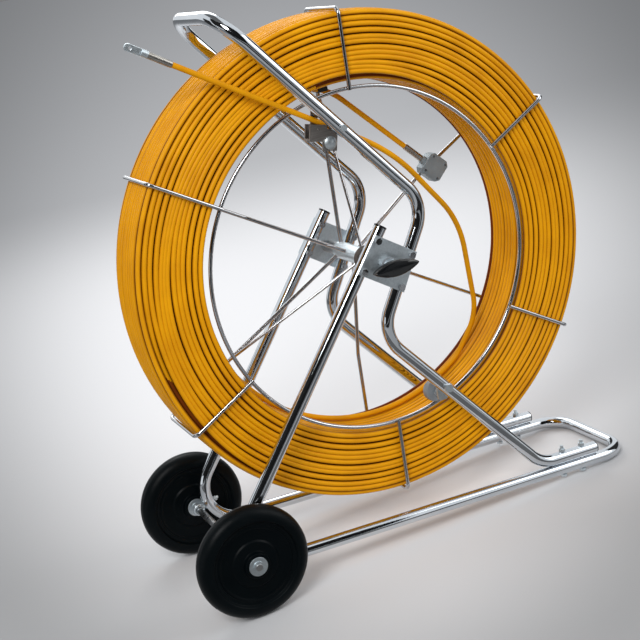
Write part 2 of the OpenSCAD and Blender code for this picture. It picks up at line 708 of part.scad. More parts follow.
// ==== guide head ====
module guide_local() translate(side(guide_at, 0)) rotate([0, -guide_tilt, 0]) children();
module on_pin(rise, y0, y1, d) guide_local() translate([0, 0, rise]) disc([0, 0], y0, y1, d);
pad_from = guide_bolt_at - guide_at;
lug_x = pad_from.x * cos(guide_tilt) + pad_from.y * sin(guide_tilt);
lug_z = -pad_from.x * sin(guide_tilt) + pad_from.y * cos(guide_tilt);
lug_r = 14;
arm_h = 16;
floor_t = 5;
ear_w = 14;
ear_rise = 6;
rivet_at = [25, -18];
rivet_d = 26;
rivet_h = 7;
rivet_edge = 3;
rivet_tail_d = 12;
rivet_tail_t = 3;
tab_half = 15;
frame_back = cheek_back + cheek_t;
module guide_frame() centred() color(ZINC) difference() {
    guide_local() {
        difference() {
            translate([-guide_w / 2, guide_front, -guide_h / 2])
                cube([guide_w, frame_back - guide_front, guide_h]);
            translate([-guide_w / 2 - over, cheek_in, floor_t - guide_h / 2])
                cube([guide_w + 2 * over, cheek_back - cheek_in, guide_h]);
        }
        translate([-ear_w / 2, cheek_back, 0]) cube([ear_w, cheek_t, top_rise + ear_rise]);
        translate([lug_x, -tube_in, lug_z]) rotate([-90, 0, 0]) cylinder(h = guide_lift + cheek_t, r = lug_r);
        translate([0, guide_front, -arm_h / 2]) cube([lug_x, cheek_t, arm_h]);
        translate([rivet_at.x - tab_half, guide_front, rivet_at.y - tab_half])
            cube([2 * tab_half, cheek_t, 2 * tab_half]);
    }
    disc(guide_bolt_at, -tube_in - over, cheek_in + over, bolt_d);
    on_pin(low_rise, guide_front - over, frame_back + over, guide_pin_d);
    on_pin(top_rise, cheek_back - over, frame_back + over, guide_pin_d);
    at_rivet() translate([0, 0, -over]) cylinder(h = cheek_t + 2 * over, d = bolt_d);
}
module at_rivet() guide_local() translate([rivet_at.x, cheek_in, rivet_at.y]) rotate([90, 0, 0]) children();
pin_over = 1.5;
module guide_pins() centred() color(ZINC) {
    on_pin(low_rise, guide_front - pin_over, frame_back, guide_pin_d);
    on_pin(top_rise, cheek_in - pin_over, frame_back, guide_pin_d);
}
module guide_roller(rise, d) difference() {
    on_pin(rise, cheek_in + gap, cheek_back - gap, d);
    on_pin(rise, cheek_in, cheek_back, guide_pin_d + 2 * fit);
}
module guide_low_roller() centred() color(GREY) guide_roller(low_rise, low_roller_d);
module guide_top_roller() centred() color(BLACK) guide_roller(top_rise, top_roller_d);
dome_sink = (rivet_d * rivet_d / 4 + pow(rivet_h - rivet_edge, 2)) / (2 * (rivet_h - rivet_edge));
module guide_bolt() centred() color(ZINC) {
    hexagon(guide_bolt_at, -tube_out - head_t, -tube_out, bolt_af);
    disc(guide_bolt_at, -tube_out, cheek_in + nut_t, bolt_d);
    hexagon(guide_bolt_at, cheek_in, cheek_in + nut_t, bolt_af);
    at_rivet() {
        translate([0, 0, -rivet_tail_t]) cylinder(h = rivet_tail_t, d = rivet_tail_d);
        cylinder(h = cheek_t, d = bolt_d);
        translate([0, 0, cheek_t]) rotate_extrude() intersection() {
            translate([0, rivet_h - dome_sink]) circle(r = dome_sink);
            square([rivet_d / 2, rivet_h]);
        }
    }
}

// ==== live rod ====
module live_rod() centred() color(YELLOW) {
    bent(LIVE_ROUTE, LIVE_BENDS, rod_d);
    translate(side(hub_point, run_y)) rotate([90, 0, 0]) rotate([0, 0, run_start - run_sweep])
        rotate_extrude(angle = run_sweep) translate([turn_r, 0]) circle(d = rod_d * swell);
}
module on_tip() along(tip_at, pass_at) children();
module tip_ferrule() centred() color(ZINC) on_tip() sleeve(ferrule_len, rod_d + 2 * tip_wall, tip_wall);
flat_len = 33;
eye_in = 4;
module pulling_eye() centred() color(CHROME) on_tip() difference() {
    translate([0, 0, tip_r - tip_len]) {
        cylinder(h = tip_len - tip_r, r = tip_r);
        sphere(r = tip_r);
    }
    for (y = [-eye_flat / 2 - tip_r, eye_flat / 2]) translate([-tip_r - over, y, -tip_len - over])
        cube([2 * (tip_r + over), tip_r, flat_len + over]);
    translate([0, 0, tip_r + eye_in - tip_len]) disc([0, 0], -tip_r - over, tip_r + over, eye_bore);
}

// ==== steadying roller ====
steady_head_t = 6.4;
steady_nut_t = 8;
steady_af = 17;
bracket_reach = norm(steady_at - steady_bolt_at);
bracket_turn = atan2(steady_at.y - steady_bolt_at.y, steady_at.x - steady_bolt_at.x);
module bracket_outline() {
    x = bracket_reach + bracket_half - bracket_cut;
    z = bracket_half - bracket_cut;
    polygon([[-z, -bracket_half], [x, -bracket_half], [x + bracket_cut, -z], [x + bracket_cut, z],
        [x, bracket_half], [-z, bracket_half], [-bracket_half, z], [-bracket_half, -z]]);
}
module steady_bracket() centred() color(ZINC) difference() {
    translate(side(steady_bolt_at, 0)) rotate([0, -bracket_turn, 0])
        slab(-tube_in, bracket_in) bracket_outline();
    disc(steady_bolt_at, -tube_in - over, bracket_in + over, steady_bore);
    disc(steady_at, -tube_in - over, bracket_in + over, steady_bore);
}
module steady_bolt() centred() color(ZINC) union() {
    hexagon(steady_bolt_at, -tube_out - steady_head_t, -tube_out, steady_af);
    disc(steady_bolt_at, -tube_out, bracket_in + steady_nut_t, steady_bore);
    hexagon(steady_bolt_at, bracket_in, bracket_in + steady_nut_t, steady_af);
}
module steady_pin() centred() color(ZINC) union() {
    disc(steady_at, -tube_in, steady_hi + gap + bracket_t, steady_bore);
    hexagon(steady_at, steady_lo - gap - steady_nut_t, steady_lo - gap, steady_af);
    disc(steady_at, steady_hi + gap, steady_hi + gap + bracket_t, steady_af);
}
module steady_roller() centred() color(GREY) difference() {
    disc(steady_at, steady_lo, steady_hi, steady_d);
    disc(steady_at, steady_lo - over, steady_hi + over, steady_bore + 2 * fit);
}

base_tube();
handle_tube();
strut_caps();
foot_caps();
hub_plate_front();
hub_plate_rear();
plate_bolts();
plate_nuts();
foot_bolts();
foot_nuts();
spindle();
spindle_nut();
rear_spacer();
plate_bush();
shoe_pins();
wheel_axle();
axle_eye_bolts();
axle_nuts();
wheel_washers();
axle_clips();
reel_hub();
hub_bushes();
hoop(1);  // hoop_1
hoop(2);  // hoop_2
hoop(3);  // hoop_3
hoop(4);  // hoop_4
hoop(5);  // hoop_5
hoop(6);  // hoop_6
front_ring();
brace(2);  // brace_2
brace(4);  // brace_4
brace(6);  // brace_6
rod_coil();
anchored_rod();
anchor_ferrule();
rod_clip();
anchor_box();
anchor_cover();
anchor_fixings();
tyre_front();
wheel_core_front();
tyre_rear();
wheel_core_rear();
brake_knob();
knob_sleeve();
brake_shoe();
guide_frame();
guide_pins();
guide_bolt();
guide_low_roller();
guide_top_roller();
live_rod();
tip_ferrule();
pulling_eye();
steady_bracket();
steady_bolt();
steady_pin();
steady_roller();
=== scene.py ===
"""Looks of a duct rod reel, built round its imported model.

A wire cage full of yellow glass-fibre rod turns on a spindle between two chrome tube frames with two black
wheels. Sizes are in metres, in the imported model's own frame: X towards the U end, -Y towards the knob, Z up.
"""

import json
import logging
import math
from dataclasses import dataclass, field
from enum import Enum
from functools import cache

import bmesh
import bpy
import numpy as np
from mathutils import Matrix, Vector


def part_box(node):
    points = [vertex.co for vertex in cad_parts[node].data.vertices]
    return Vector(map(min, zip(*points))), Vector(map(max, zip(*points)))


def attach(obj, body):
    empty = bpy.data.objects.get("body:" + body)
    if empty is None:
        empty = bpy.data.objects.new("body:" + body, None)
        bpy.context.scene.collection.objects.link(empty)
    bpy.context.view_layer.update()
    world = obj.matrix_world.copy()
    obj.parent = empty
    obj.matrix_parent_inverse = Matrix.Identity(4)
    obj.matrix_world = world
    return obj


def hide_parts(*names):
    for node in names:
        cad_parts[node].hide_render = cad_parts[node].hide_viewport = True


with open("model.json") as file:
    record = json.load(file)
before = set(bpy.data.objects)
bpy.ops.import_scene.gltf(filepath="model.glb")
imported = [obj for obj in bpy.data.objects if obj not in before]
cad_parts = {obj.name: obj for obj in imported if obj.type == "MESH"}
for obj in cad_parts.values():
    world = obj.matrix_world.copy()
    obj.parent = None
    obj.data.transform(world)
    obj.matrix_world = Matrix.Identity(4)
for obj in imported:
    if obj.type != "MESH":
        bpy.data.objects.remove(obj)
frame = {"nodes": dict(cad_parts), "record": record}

LOG = logging.getLogger("duct_rod_reel")
MM = 0.001
TAU = 2 * math.pi
CREASE = math.radians(50)  # new meshes shade sharp past this angle
HARD_EDGE = math.radians(38)  # copies of CAD nodes shade sharp and are bevelled past this angle
FLAT = math.radians(0.6)  # CAD triangles that meet flatter than this are merged
WELD = 2e-6  # CAD corners closer than this are joined
Colour = tuple[float, float, float]


class Side(Enum):
    """The two sides of the reel and stand: FRONT carries the brake knob."""

    FRONT = -1
    REAR = 1


# ---------------------------------------------------------------------------
# Meshes from numpy grids
# ---------------------------------------------------------------------------


def grid_faces(rows: int, cols: int, closed: bool) -> np.ndarray:
    """Corner numbers of the quads of a grid of points whose last column joins the first.

    Args:
        rows: number of points along the first parameter.
        cols: number of points along the second parameter.
        closed: True where the last row joins the first.

    Returns:
        An array of quads, four corner numbers each.
    """
    i, j = np.meshgrid(np.arange(rows if closed else rows - 1), np.arange(cols), indexing="ij")
    i2, j2 = (i + 1) % rows, (j + 1) % cols
    return np.stack([i * cols + j, i * cols + j2, i2 * cols + j2, i2 * cols + j], axis=-1).reshape(-1, 4)


def bar_faces(rows: int, sides: int) -> list[np.ndarray]:
    """Faces of a bar made of rows rings of points, with a flat cap at both ends."""
    ring = np.arange(sides)
    return [*grid_faces(rows, sides, False), ring, ring[::-1] + (rows - 1) * sides]


def new_piece(name: str, points: np.ndarray, faces: list) -> bpy.types.Object:
    """Puts points and faces into a new smooth mesh object with outward normals.

    Args:
        name: the piece's name.
        points: an array of points, three numbers each.
        faces: lists or arrays of corner numbers.

    Returns:
        The new object, at the origin.
    """
    mesh = bpy.data.meshes.new(name)
    mesh.from_pydata(points.reshape(-1, 3).tolist(), [], [list(map(int, f)) for f in faces])
    made = bmesh.new()
    made.from_mesh(mesh)
    bmesh.ops.recalc_face_normals(made, faces=made.faces)
    made.to_mesh(mesh)
    made.free()
    mesh.polygons.foreach_set("use_smooth", np.ones(len(mesh.polygons), dtype=bool))
    mesh.set_sharp_from_angle(angle=CREASE)
    piece = bpy.data.objects.new(name, mesh)
    bpy.context.scene.collection.objects.link(piece)
    return piece


def rounded(corners: np.ndarray, radii: list[float], steps: int = 6) -> np.ndarray:
    """A closed outline with its corners rounded.

    Each corner becomes an arc: its centre lies on the corner's bisector, at radius / sin(half angle), and
    the arc runs between the two points where the circle touches the sides.

    Args:
        corners: corner points in order, two numbers each.
        radii: one radius for each corner.
        steps: points on each arc.

    Returns:
        The outline's points, two numbers each.
    """
    out = []
    for k, (p, r) in enumerate(zip(corners, radii)):
        u = corners[k - 1] - p
        w = corners[(k + 1) % len(corners)] - p
        u, w = u / np.linalg.norm(u), w / np.linalg.norm(w)
        half = 0.5 * math.acos(float(np.clip(u @ w, -1, 1)))
        reach = r / math.tan(half)
        centre = p + (u + w) / np.linalg.norm(u + w) * r / math.sin(half)
        a, b = p + u * reach - centre, p + w * reach - centre
        turn = np.linspace(0, 1, steps)[:, None]
        arc = a * (1 - turn) + b * turn
        arc *= r / np.maximum(np.linalg.norm(arc, axis=1, keepdims=True), 1e-9)
        out.append(centre + arc)
    return np.vstack(out)


def revolved(name: str, profile: np.ndarray, centre: Vector, segments: int) -> bpy.types.Object:
    """A ring turned about an axis along Y.

    A profile point (r, y) goes to centre + (r cos t, y, r sin t) for t round the whole turn.

    Args:
        name: the piece's name.
        profile: a closed outline of (radius, distance along the axis).
        centre: the point on the axis that the distances start from.
        segments: steps round the turn.

    Returns:
        The new object.
    """
    turn = np.arange(segments) * TAU / segments
    r, y = profile[:, 0], profile[:, 1]
    points = np.stack(
        [
            centre.x + np.cos(turn)[:, None] * r[None, :],
            centre.y + np.broadcast_to(y, (segments, len(y))),
            centre.z + np.sin(turn)[:, None] * r[None, :],
        ],
        axis=-1,
    )
    return new_piece(name, points, grid_faces(segments, len(profile), True))


def turned(vector: np.ndarray, axis: np.ndarray, angles: np.ndarray) -> np.ndarray:
    """A vector turned about an axis by each of many angles.

    v cos a + (axis x v) sin a + axis (axis . v)(1 - cos a), which is Rodrigues' formula.

    Args:
        vector: the vector to turn.
        axis: a unit vector.
        angles: the angles in radians.

    Returns:
        One turned vector for each angle.
    """
    a = angles[:, None]
    return vector * np.cos(a) + np.cross(axis, vector) * np.sin(a) + axis * (axis @ vector) * (1 - np.cos(a))


@dataclass
class Route:
    """A path of straight runs joined by round bends.

    Attributes:
        corners: the corner points, in order.
        bends: a bend radius for each corner, and 0 for the two ends.
        step: the largest turn between two points on a bend.
    """

    corners: np.ndarray
    bends: list[float]
    step: float = math.radians(4)

    def stations(self) -> tuple[np.ndarray, np.ndarray, np.ndarray]:
        """Points along the path and two directions across it at each of them.

        On a bend of radius R and turn T the points lie on the circle that touches both runs, which starts
        R tan(T / 2) before the corner. The two directions turn with the path and never twist about it.

        Returns:
            The points, and the first and the second directions across.
        """
        runs = np.diff(self.corners, axis=0)
        runs /= np.linalg.norm(runs, axis=1, keepdims=True)
        helper = np.eye(3)[int(np.argmin(np.abs(runs[0])))]
        n = np.cross(runs[0], helper)
        n /= np.linalg.norm(n)
        b = np.cross(runs[0], n)
        at, first, second = [self.corners[:1]], [n[None]], [b[None]]
        for corner, u, w, radius in zip(self.corners[1:-1], runs[:-1], runs[1:], self.bends[1:-1]):
            axis = np.cross(u, w)
            turn = math.atan2(float(np.linalg.norm(axis)), float(u @ w))
            axis = axis / np.linalg.norm(axis)
            start = corner - u * radius * math.tan(turn / 2)
            spoke = -np.cross(axis, u) * radius
            angles = np.linspace(0, turn, max(3, math.ceil(turn / self.step) + 1))
            at.append(start - spoke + turned(spoke, axis, angles))
            first.append(turned(n, axis, angles))
            second.append(turned(b, axis, angles))
            n, b = first[-1][-1], second[-1][-1]
        at.append(self.corners[-1:])
        first.append(n[None])
        second.append(b[None])
        return np.vstack(at), np.vstack(first), np.vstack(second)

    def swept(self, name: str, radius: float, sides: int) -> bpy.types.Object:
        """A round bar along the path, with flat ends.

        Each ring of points is the path's point plus radius times (cos v) the first direction plus (sin v) the
        second.

        Args:
            name: the piece's name.
            radius: the bar's radius.
            sides: points round it.

        Returns:
            The new object.
        """
        at, first, second = self.stations()
        v = (np.arange(sides) * TAU / sides)[None, :, None]
        points = at[:, None, :] + radius * (np.cos(v) * first[:, None, :] + np.sin(v) * second[:, None, :])
        return new_piece(name, points, bar_faces(len(at), sides))


# ---------------------------------------------------------------------------
# Shared effects, as node groups
# ---------------------------------------------------------------------------


def add_node(
    tree: bpy.types.NodeTree, kind: str, inputs: dict | None = None, **settings: object
) -> bpy.types.Node:
    """Adds a shader node to a tree.

    Args:
        tree: the tree that it joins.
        kind: its type, without the leading ShaderNode.
        inputs: what each input gets, by name or number: another node's socket is linked, and a value is set.
        settings: the node's own settings, which are made before its inputs.

    Returns:
        The new node.
    """
    node = tree.nodes.new(f"ShaderNode{kind}")
    for key, value in settings.items():
        setattr(node, key, value)
    for key, value in (inputs or {}).items():
        if isinstance(value, bpy.types.NodeSocket):
            tree.links.new(value, node.inputs[key])
        else:
            node.inputs[key].default_value = value
    return node


def mixed(
    tree: bpy.types.NodeTree, amount: bpy.types.NodeSocket, first: object, second: Colour
) -> bpy.types.NodeSocket:
    """The socket of a colour that goes from the first, a colour or a socket, to the second by an amount."""
    start = first if isinstance(first, bpy.types.NodeSocket) else (*first, 1.0)
    inputs = {"Factor": amount, "A": start, "B": (*second, 1.0)}
    return add_node(tree, "Mix", inputs, data_type="RGBA").outputs["Result"]


class Effects:
    """Node groups that several finishes share. Each is built once, the first time it is asked for."""

    @staticmethod
    def _group(name: str, **inputs: float) -> tuple[bpy.types.NodeTree, bpy.types.bpy_prop_collection]:
        """Starts a group with float inputs and the output Value: the group and its inputs' sockets."""
        group = bpy.data.node_groups.new(name, "ShaderNodeTree")
        for label, value in inputs.items():
            socket = group.interface.new_socket(label, in_out="INPUT", socket_type="NodeSocketFloat")
            socket.default_value = value
        group.interface.new_socket("Value", in_out="OUTPUT", socket_type="NodeSocketFloat")
        return group, group.nodes.new("NodeGroupInput").outputs

    @staticmethod
    def _spread(
        start: bpy.types.bpy_prop_collection, value: bpy.types.NodeSocket, low: float, high: float
    ) -> bpy.types.NodeTree:
        """Ends a group: a value from low to high comes out between its inputs Low and High."""
        group = value.id_data
        span = {"From Min": low, "From Max": high, "To Min": start["Low"], "To Max": start["High"]}
        spread = add_node(group, "MapRange", {"Value": value, **span})
        end = group.nodes.new("NodeGroupOutput")
        group.links.new(spread.outputs["Result"], end.inputs["Value"])
        return group

    @staticmethod
    @cache
    def mottle() -> bpy.types.NodeTree:
        """Soft patches: noise on object coordinates, mapped to a value between Low and High."""
        group, start = Effects._group("soft_mottle", Scale=20.0, Detail=3.0, Low=0.0, High=1.0)
        where = add_node(group, "TexCoord").outputs["Object"]
        inputs = {"Vector": where, "Scale": start["Scale"], "Detail": start["Detail"]}
        return Effects._spread(start, add_node(group, "TexNoise", inputs).outputs["Fac"], 0.3, 0.7)

    @staticmethod
    @cache
    def spangle() -> bpy.types.NodeTree:
        """Crystal flakes of a zinc coat: a cell texture's random value, between Low and High."""
        group, start = Effects._group("zinc_spangle", Scale=200.0, Low=0.0, High=1.0)
        where = add_node(group, "TexCoord").outputs["Object"]
        cells = add_node(group, "TexVoronoi", {"Vector": where, "Scale": start["Scale"]})
        split = add_node(group, "SeparateColor", {"Color": cells.outputs["Color"]})
        return Effects._spread(start, split.outputs["Red"], 0.0, 1.0)

    @staticmethod
    @cache
    def brushing() -> bpy.types.NodeTree:
        """Fine rubbed lines: noise on object coordinates that are stretched along X, between Low and High."""
        group, start = Effects._group("rubbed_lines", Scale=60.0, Low=0.0, High=1.0)
        where = add_node(group, "TexCoord").outputs["Object"]
        stretch = add_node(group, "Mapping", {"Vector": where, "Scale": (0.6, 14.0, 14.0)})
        inputs = {"Vector": stretch.outputs["Vector"], "Scale": start["Scale"], "Detail": 5.0}
        return Effects._spread(start, add_node(group, "TexNoise", inputs).outputs["Fac"], 0.35, 0.75)


# ---------------------------------------------------------------------------
# Finishes
# ---------------------------------------------------------------------------


FLAKES_PER_PATCH = 9.0
ROUGH_PER_PATCH = 2.3
BUMP_HEIGHT = 0.4 * MM
COAT_ROUGH = 0.12


class Tone(Enum):
    """What breaks up a finish's colour."""

    PATCHES = "patches"
    FLAKES = "flakes"
    RUBBED = "rubbed"


@dataclass(frozen=True)
class Finish:
    """One surface finish.

    Attributes:
        name: the finish's name.
        colour: linear base colour.
        second: colour that the patches, flakes or rubbed lines lean towards.
        metallic: 0 or 1.
        rough: roughness range over the patches.
        patch: patches per metre.
        grain: bumps per metre.
        depth: strength of those bumps.
        coat: clear coat weight.
        shine: strength of the surface's own reflection, with 0.5 as usual.
        groove: painted shade, a dark colour deep between two turns of rod, where the mesh's own groove
            attribute is 1, or None.
        tone: what breaks up the colour.
    """

    name: str
    colour: Colour
    second: Colour
    metallic: float = 0.0
    rough: tuple[float, float] = (0.3, 0.4)
    patch: float = 18.0
    grain: float = 900.0
    depth: float = 0.05
    coat: float = 0.0
    shine: float = 0.5
    groove: Colour | None = None
    tone: Tone = Tone.PATCHES

    @staticmethod
    def _effect(
        tree: bpy.types.NodeTree, group: bpy.types.NodeTree, **values: float
    ) -> bpy.types.NodeSocket:
        """The value of a shared effect, with this finish's own numbers."""
        return add_node(tree, "Group", values, node_tree=group).outputs["Value"]

    def _tone(self, tree: bpy.types.NodeTree) -> bpy.types.NodeSocket:
        """The value that breaks up the colour."""
        if self.tone is Tone.FLAKES:
            return self._effect(tree, Effects.spangle(), Scale=self.patch * FLAKES_PER_PATCH)
        effect = Effects.brushing() if self.tone is Tone.RUBBED else Effects.mottle()
        return self._effect(tree, effect, Scale=self.patch)

    def material(self) -> bpy.types.Material:
        """Builds the finish as a node material.

        Returns:
            The material, with the finish's name.
        """
        material = bpy.data.materials.new(self.name)
        material.use_nodes = True
        tree = material.node_tree
        colour = mixed(tree, self._tone(tree), self.colour, self.second)
        # Painted shade: the colour darkens where two turns of rod touch, standing in for the shade between
        # them.
        if self.groove is not None:
            groove_shade_mask = add_node(tree, "Attribute", attribute_name="groove")
            colour = mixed(tree, groove_shade_mask.outputs["Fac"], colour, self.groove)
        smooth, dull = self.rough
        scale = self.patch * ROUGH_PER_PATCH
        rough = self._effect(tree, Effects.mottle(), Scale=scale, Low=smooth, High=dull)
        grain = self._effect(tree, Effects.mottle(), Scale=self.grain, Detail=4.0)
        bump = add_node(tree, "Bump", {"Strength": self.depth, "Distance": BUMP_HEIGHT, "Height": grain})
        inputs = tree.nodes["Principled BSDF"].inputs
        inputs["Metallic"].default_value = self.metallic
        inputs["Coat Weight"].default_value = self.coat
        inputs["Coat Roughness"].default_value = COAT_ROUGH
        inputs["Specular IOR Level"].default_value = self.shine
        tree.links.new(colour, inputs["Base Color"])
        tree.links.new(rough, inputs["Roughness"])
        tree.links.new(bump.outputs["Normal"], inputs["Normal"])
        return material


FINISHES = (
    Finish("tube", (0.72, 0.75, 0.78), (0.58, 0.62, 0.66), 1.0, (0.03, 0.08), 9.0, 500.0, 0.02),
    Finish("wire", (0.62, 0.63, 0.65), (0.50, 0.51, 0.53), 1.0, (0.10, 0.20), 14.0, 700.0, 0.03),
    Finish(
        "spindle_steel", (0.58, 0.59, 0.60), (0.46, 0.47, 0.48), 1.0, (0.24, 0.36), 25.0, 1200.0, 0.08,
        tone=Tone.RUBBED,
    ),
    Finish(
        "zinc", (0.74, 0.81, 0.85), (0.64, 0.71, 0.75), 1.0, (0.36, 0.48), 34.0, 900.0, 0.05,
        tone=Tone.FLAKES,
    ),
    Finish(
        "dull_zinc", (0.42, 0.39, 0.36), (0.30, 0.27, 0.25), 1.0, (0.34, 0.46), 30.0, 900.0, 0.08,
        tone=Tone.RUBBED,
    ),
    # The rod's own colour, with painted shade between touching turns.
    Finish(
        "glass_fibre", (0.84, 0.37, 0.002), (0.70, 0.285, 0.002), 0.0, (0.36, 0.48), 16.0, 1400.0, 0.10,
        shine=0.12, groove=(0.15, 0.025, 0.001),
    ),
    Finish(
        "shaded_glass_fibre", (0.20, 0.042, 0.002), (0.14, 0.028, 0.002), 0.0, (0.50, 0.65), 16.0, 1400.0,
        0.10, shine=0.1,
    ),
    Finish("ferrule_metal", (0.52, 0.50, 0.46), (0.38, 0.36, 0.33), 1.0, (0.24, 0.38), 40.0, 1500.0, 0.10),
    Finish(
        "tyre_rubber", (0.0008, 0.0022, 0.0030), (0.0016, 0.0034, 0.0044), 0.0, (0.34, 0.46), 16.0, 700.0,
        0.2, shine=0.10,
    ),
    Finish(
        "wheel_plastic", (0.0006, 0.0018, 0.0025), (0.0013, 0.0029, 0.0038), 0.0, (0.30, 0.42), 14.0,
        1100.0, 0.12, shine=0.08,
    ),
    Finish(
        "black_plastic", (0.003, 0.0035, 0.004), (0.006, 0.007, 0.008), 0.0, (0.12, 0.22), 20.0, 1300.0,
        0.06, coat=0.25,
    ),
    Finish("grey_nylon", (0.26, 0.28, 0.30), (0.20, 0.215, 0.23), 0.0, (0.40, 0.52), 20.0, 1200.0, 0.15),
    Finish("brake_lining", (0.06, 0.05, 0.045), (0.10, 0.085, 0.075), 0.0, (0.75, 0.9), 300.0, 1500.0, 0.5),
    Finish("die_cast", (0.34, 0.385, 0.41), (0.26, 0.30, 0.325), 0.5, (0.42, 0.56), 30.0, 1400.0, 0.35),
)


class Wardrobe:
    """All the finishes, by slot, and which slot each CAD node wears."""

    def __init__(self) -> None:
        """Builds every finish once."""
        self.materials = {finish.name: finish.material() for finish in FINISHES}
        self.slot_of = {part["node"]: part["material_slot"] for part in frame["record"]["subparts"]}
        self.body_of = {
            node: body for body, nodes in frame["record"]["behaviour"]["bodies"].items() for node in nodes
        }

    def _paint(self, piece: bpy.types.Object, finish: str) -> None:
        """Gives a piece one finish in place of what it had."""
        piece.data.materials.clear()
        piece.data.materials.append(self.materials[finish])

    def dress(self, piece: bpy.types.Object, node: str, finish: str = "") -> None:
        """Gives a new piece its finish and its body, and hides the CAD node that it stands for.

        Args:
            piece: the new piece.
            node: the CAD node that it replaces, whose body and slot it takes.
            finish: a finish other than the slot's own.
        """
        slot = self.slot_of[node]
        self._paint(piece, finish or slot)
        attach(piece, self.body_of[node])
        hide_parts(node)
        LOG.info("%s: %d faces, for %s", piece.name, len(piece.data.polygons), node)

    def fitted(self, piece: bpy.types.Object, node: str) -> None:
        """Dresses a piece that follows its CAD node closely."""
        self.dress(piece, node)
        low, high = (np.array(c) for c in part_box(node))
        points = np.empty(len(piece.data.vertices) * 3)
        piece.data.vertices.foreach_get("co", points)
        points = points.reshape(-1, 3)
        off = max(np.abs(points.min(axis=0) - low).max(), np.abs(points.max(axis=0) - high).max())
        LOG.info("%s: box within %.2f mm of the model's", piece.name, off / MM)

    def dress_nodes(self) -> None:
        """Gives every CAD node its finish."""
        for node, piece in frame["nodes"].items():
            self._paint(piece, self.slot_of[node])


# ---------------------------------------------------------------------------
# Sub-assemblies
# ---------------------------------------------------------------------------


def heading(degrees: float) -> np.ndarray:
    """The unit vector (cos a, sin a) in the side view."""
    return np.array([math.cos(math.radians(degrees)), math.sin(math.radians(degrees))])


def meeting(p: np.ndarray, a: float, q: np.ndarray, b: float) -> np.ndarray:
    """Where the line through p at angle a meets the line through q at angle b, in the side view."""
    gap, along = q - p, heading(b)
    return p + (gap[0] * along[1] - gap[1] * along[0]) / heading(b - a)[1] * heading(a)


@dataclass
class Stand:
    """The two bent frame tubes: the base with its struts, and the handle with its arms and feet."""

    tube_d: float = 26 * MM
    half_width: float = 131 * MM
    spindle_height: float = 588 * MM
    base_reach: float = 498 * MM
    rail_angle: float = -4.0
    strut_angle: float = 51.0
    strut_offset: float = 45 * MM
    strut_top: float = 60 * MM
    arm_angle: float = 51.5
    mid_angle: float = 58.3
    arm_offset: float = 41 * MM
    mid_up: float = 140 * MM
    mid_down: float = 137 * MM
    arm_len: float = 558 * MM
    foot_setback: float = 84 * MM
    foot_lift: float = 26.2 * MM
    side_bend_r: float = 75 * MM
    base_bend_r: float = 65 * MM
    handle_bend_r: float = 72 * MM
    sides: int = 40

    def _mirrored(self, spindle: Vector, corners: list[np.ndarray]) -> np.ndarray:
        """Side-view corners of the front half, then the same ones backwards for the rear half."""
        flat = np.array(corners)
        front = np.stack([flat[:, 0] + spindle.x, np.full(len(flat), -self.half_width), flat[:, 1]], axis=-1)
        rear = front[::-1] * np.array([1, -1, 1])
        return np.vstack([front, rear])

    def build(self, wardrobe: Wardrobe, spindle: Vector) -> None:
        """Makes and dresses both tubes.

        Args:
            wardrobe: the finishes.
            spindle: the middle of the spindle.
        """
        hub = np.array([0.0, self.spindle_height])
        u_corner = np.array([self.base_reach, self.tube_d / 2])
        strut_mid = hub + self.strut_offset * heading(self.strut_angle + 90)
        strut_end = strut_mid + self.strut_top * heading(self.strut_angle)
        heel = meeting(strut_mid, self.strut_angle, u_corner, self.rail_angle)
        side, bend = self.side_bend_r, self.base_bend_r
        base = Route(self._mirrored(spindle, [strut_end, heel, u_corner]), [0, side, bend, bend, side, 0])
        wardrobe.fitted(base.swept("base_tube_bent", self.tube_d / 2, self.sides), "base_tube")
        mid = hub + self.arm_offset * heading(self.mid_angle - 90)
        elbow = mid + self.mid_up * heading(self.mid_angle)
        knee = mid - self.mid_down * heading(self.mid_angle)
        corner = elbow + self.arm_len * heading(180 - self.arm_angle)
        foot_line = u_corner + self.foot_lift * heading(self.rail_angle + 90)
        ankle = meeting(knee, -self.arm_angle, foot_line, self.rail_angle)
        foot_end = foot_line - self.foot_setback * heading(self.rail_angle)
        half = [0, side, side, side, self.handle_bend_r]
        handle = Route(self._mirrored(spindle, [foot_end, ankle, knee, elbow, corner]), half + half[::-1])
        wardrobe.fitted(handle.swept("handle_tube_bent", self.tube_d / 2, self.sides), "handle_tube")


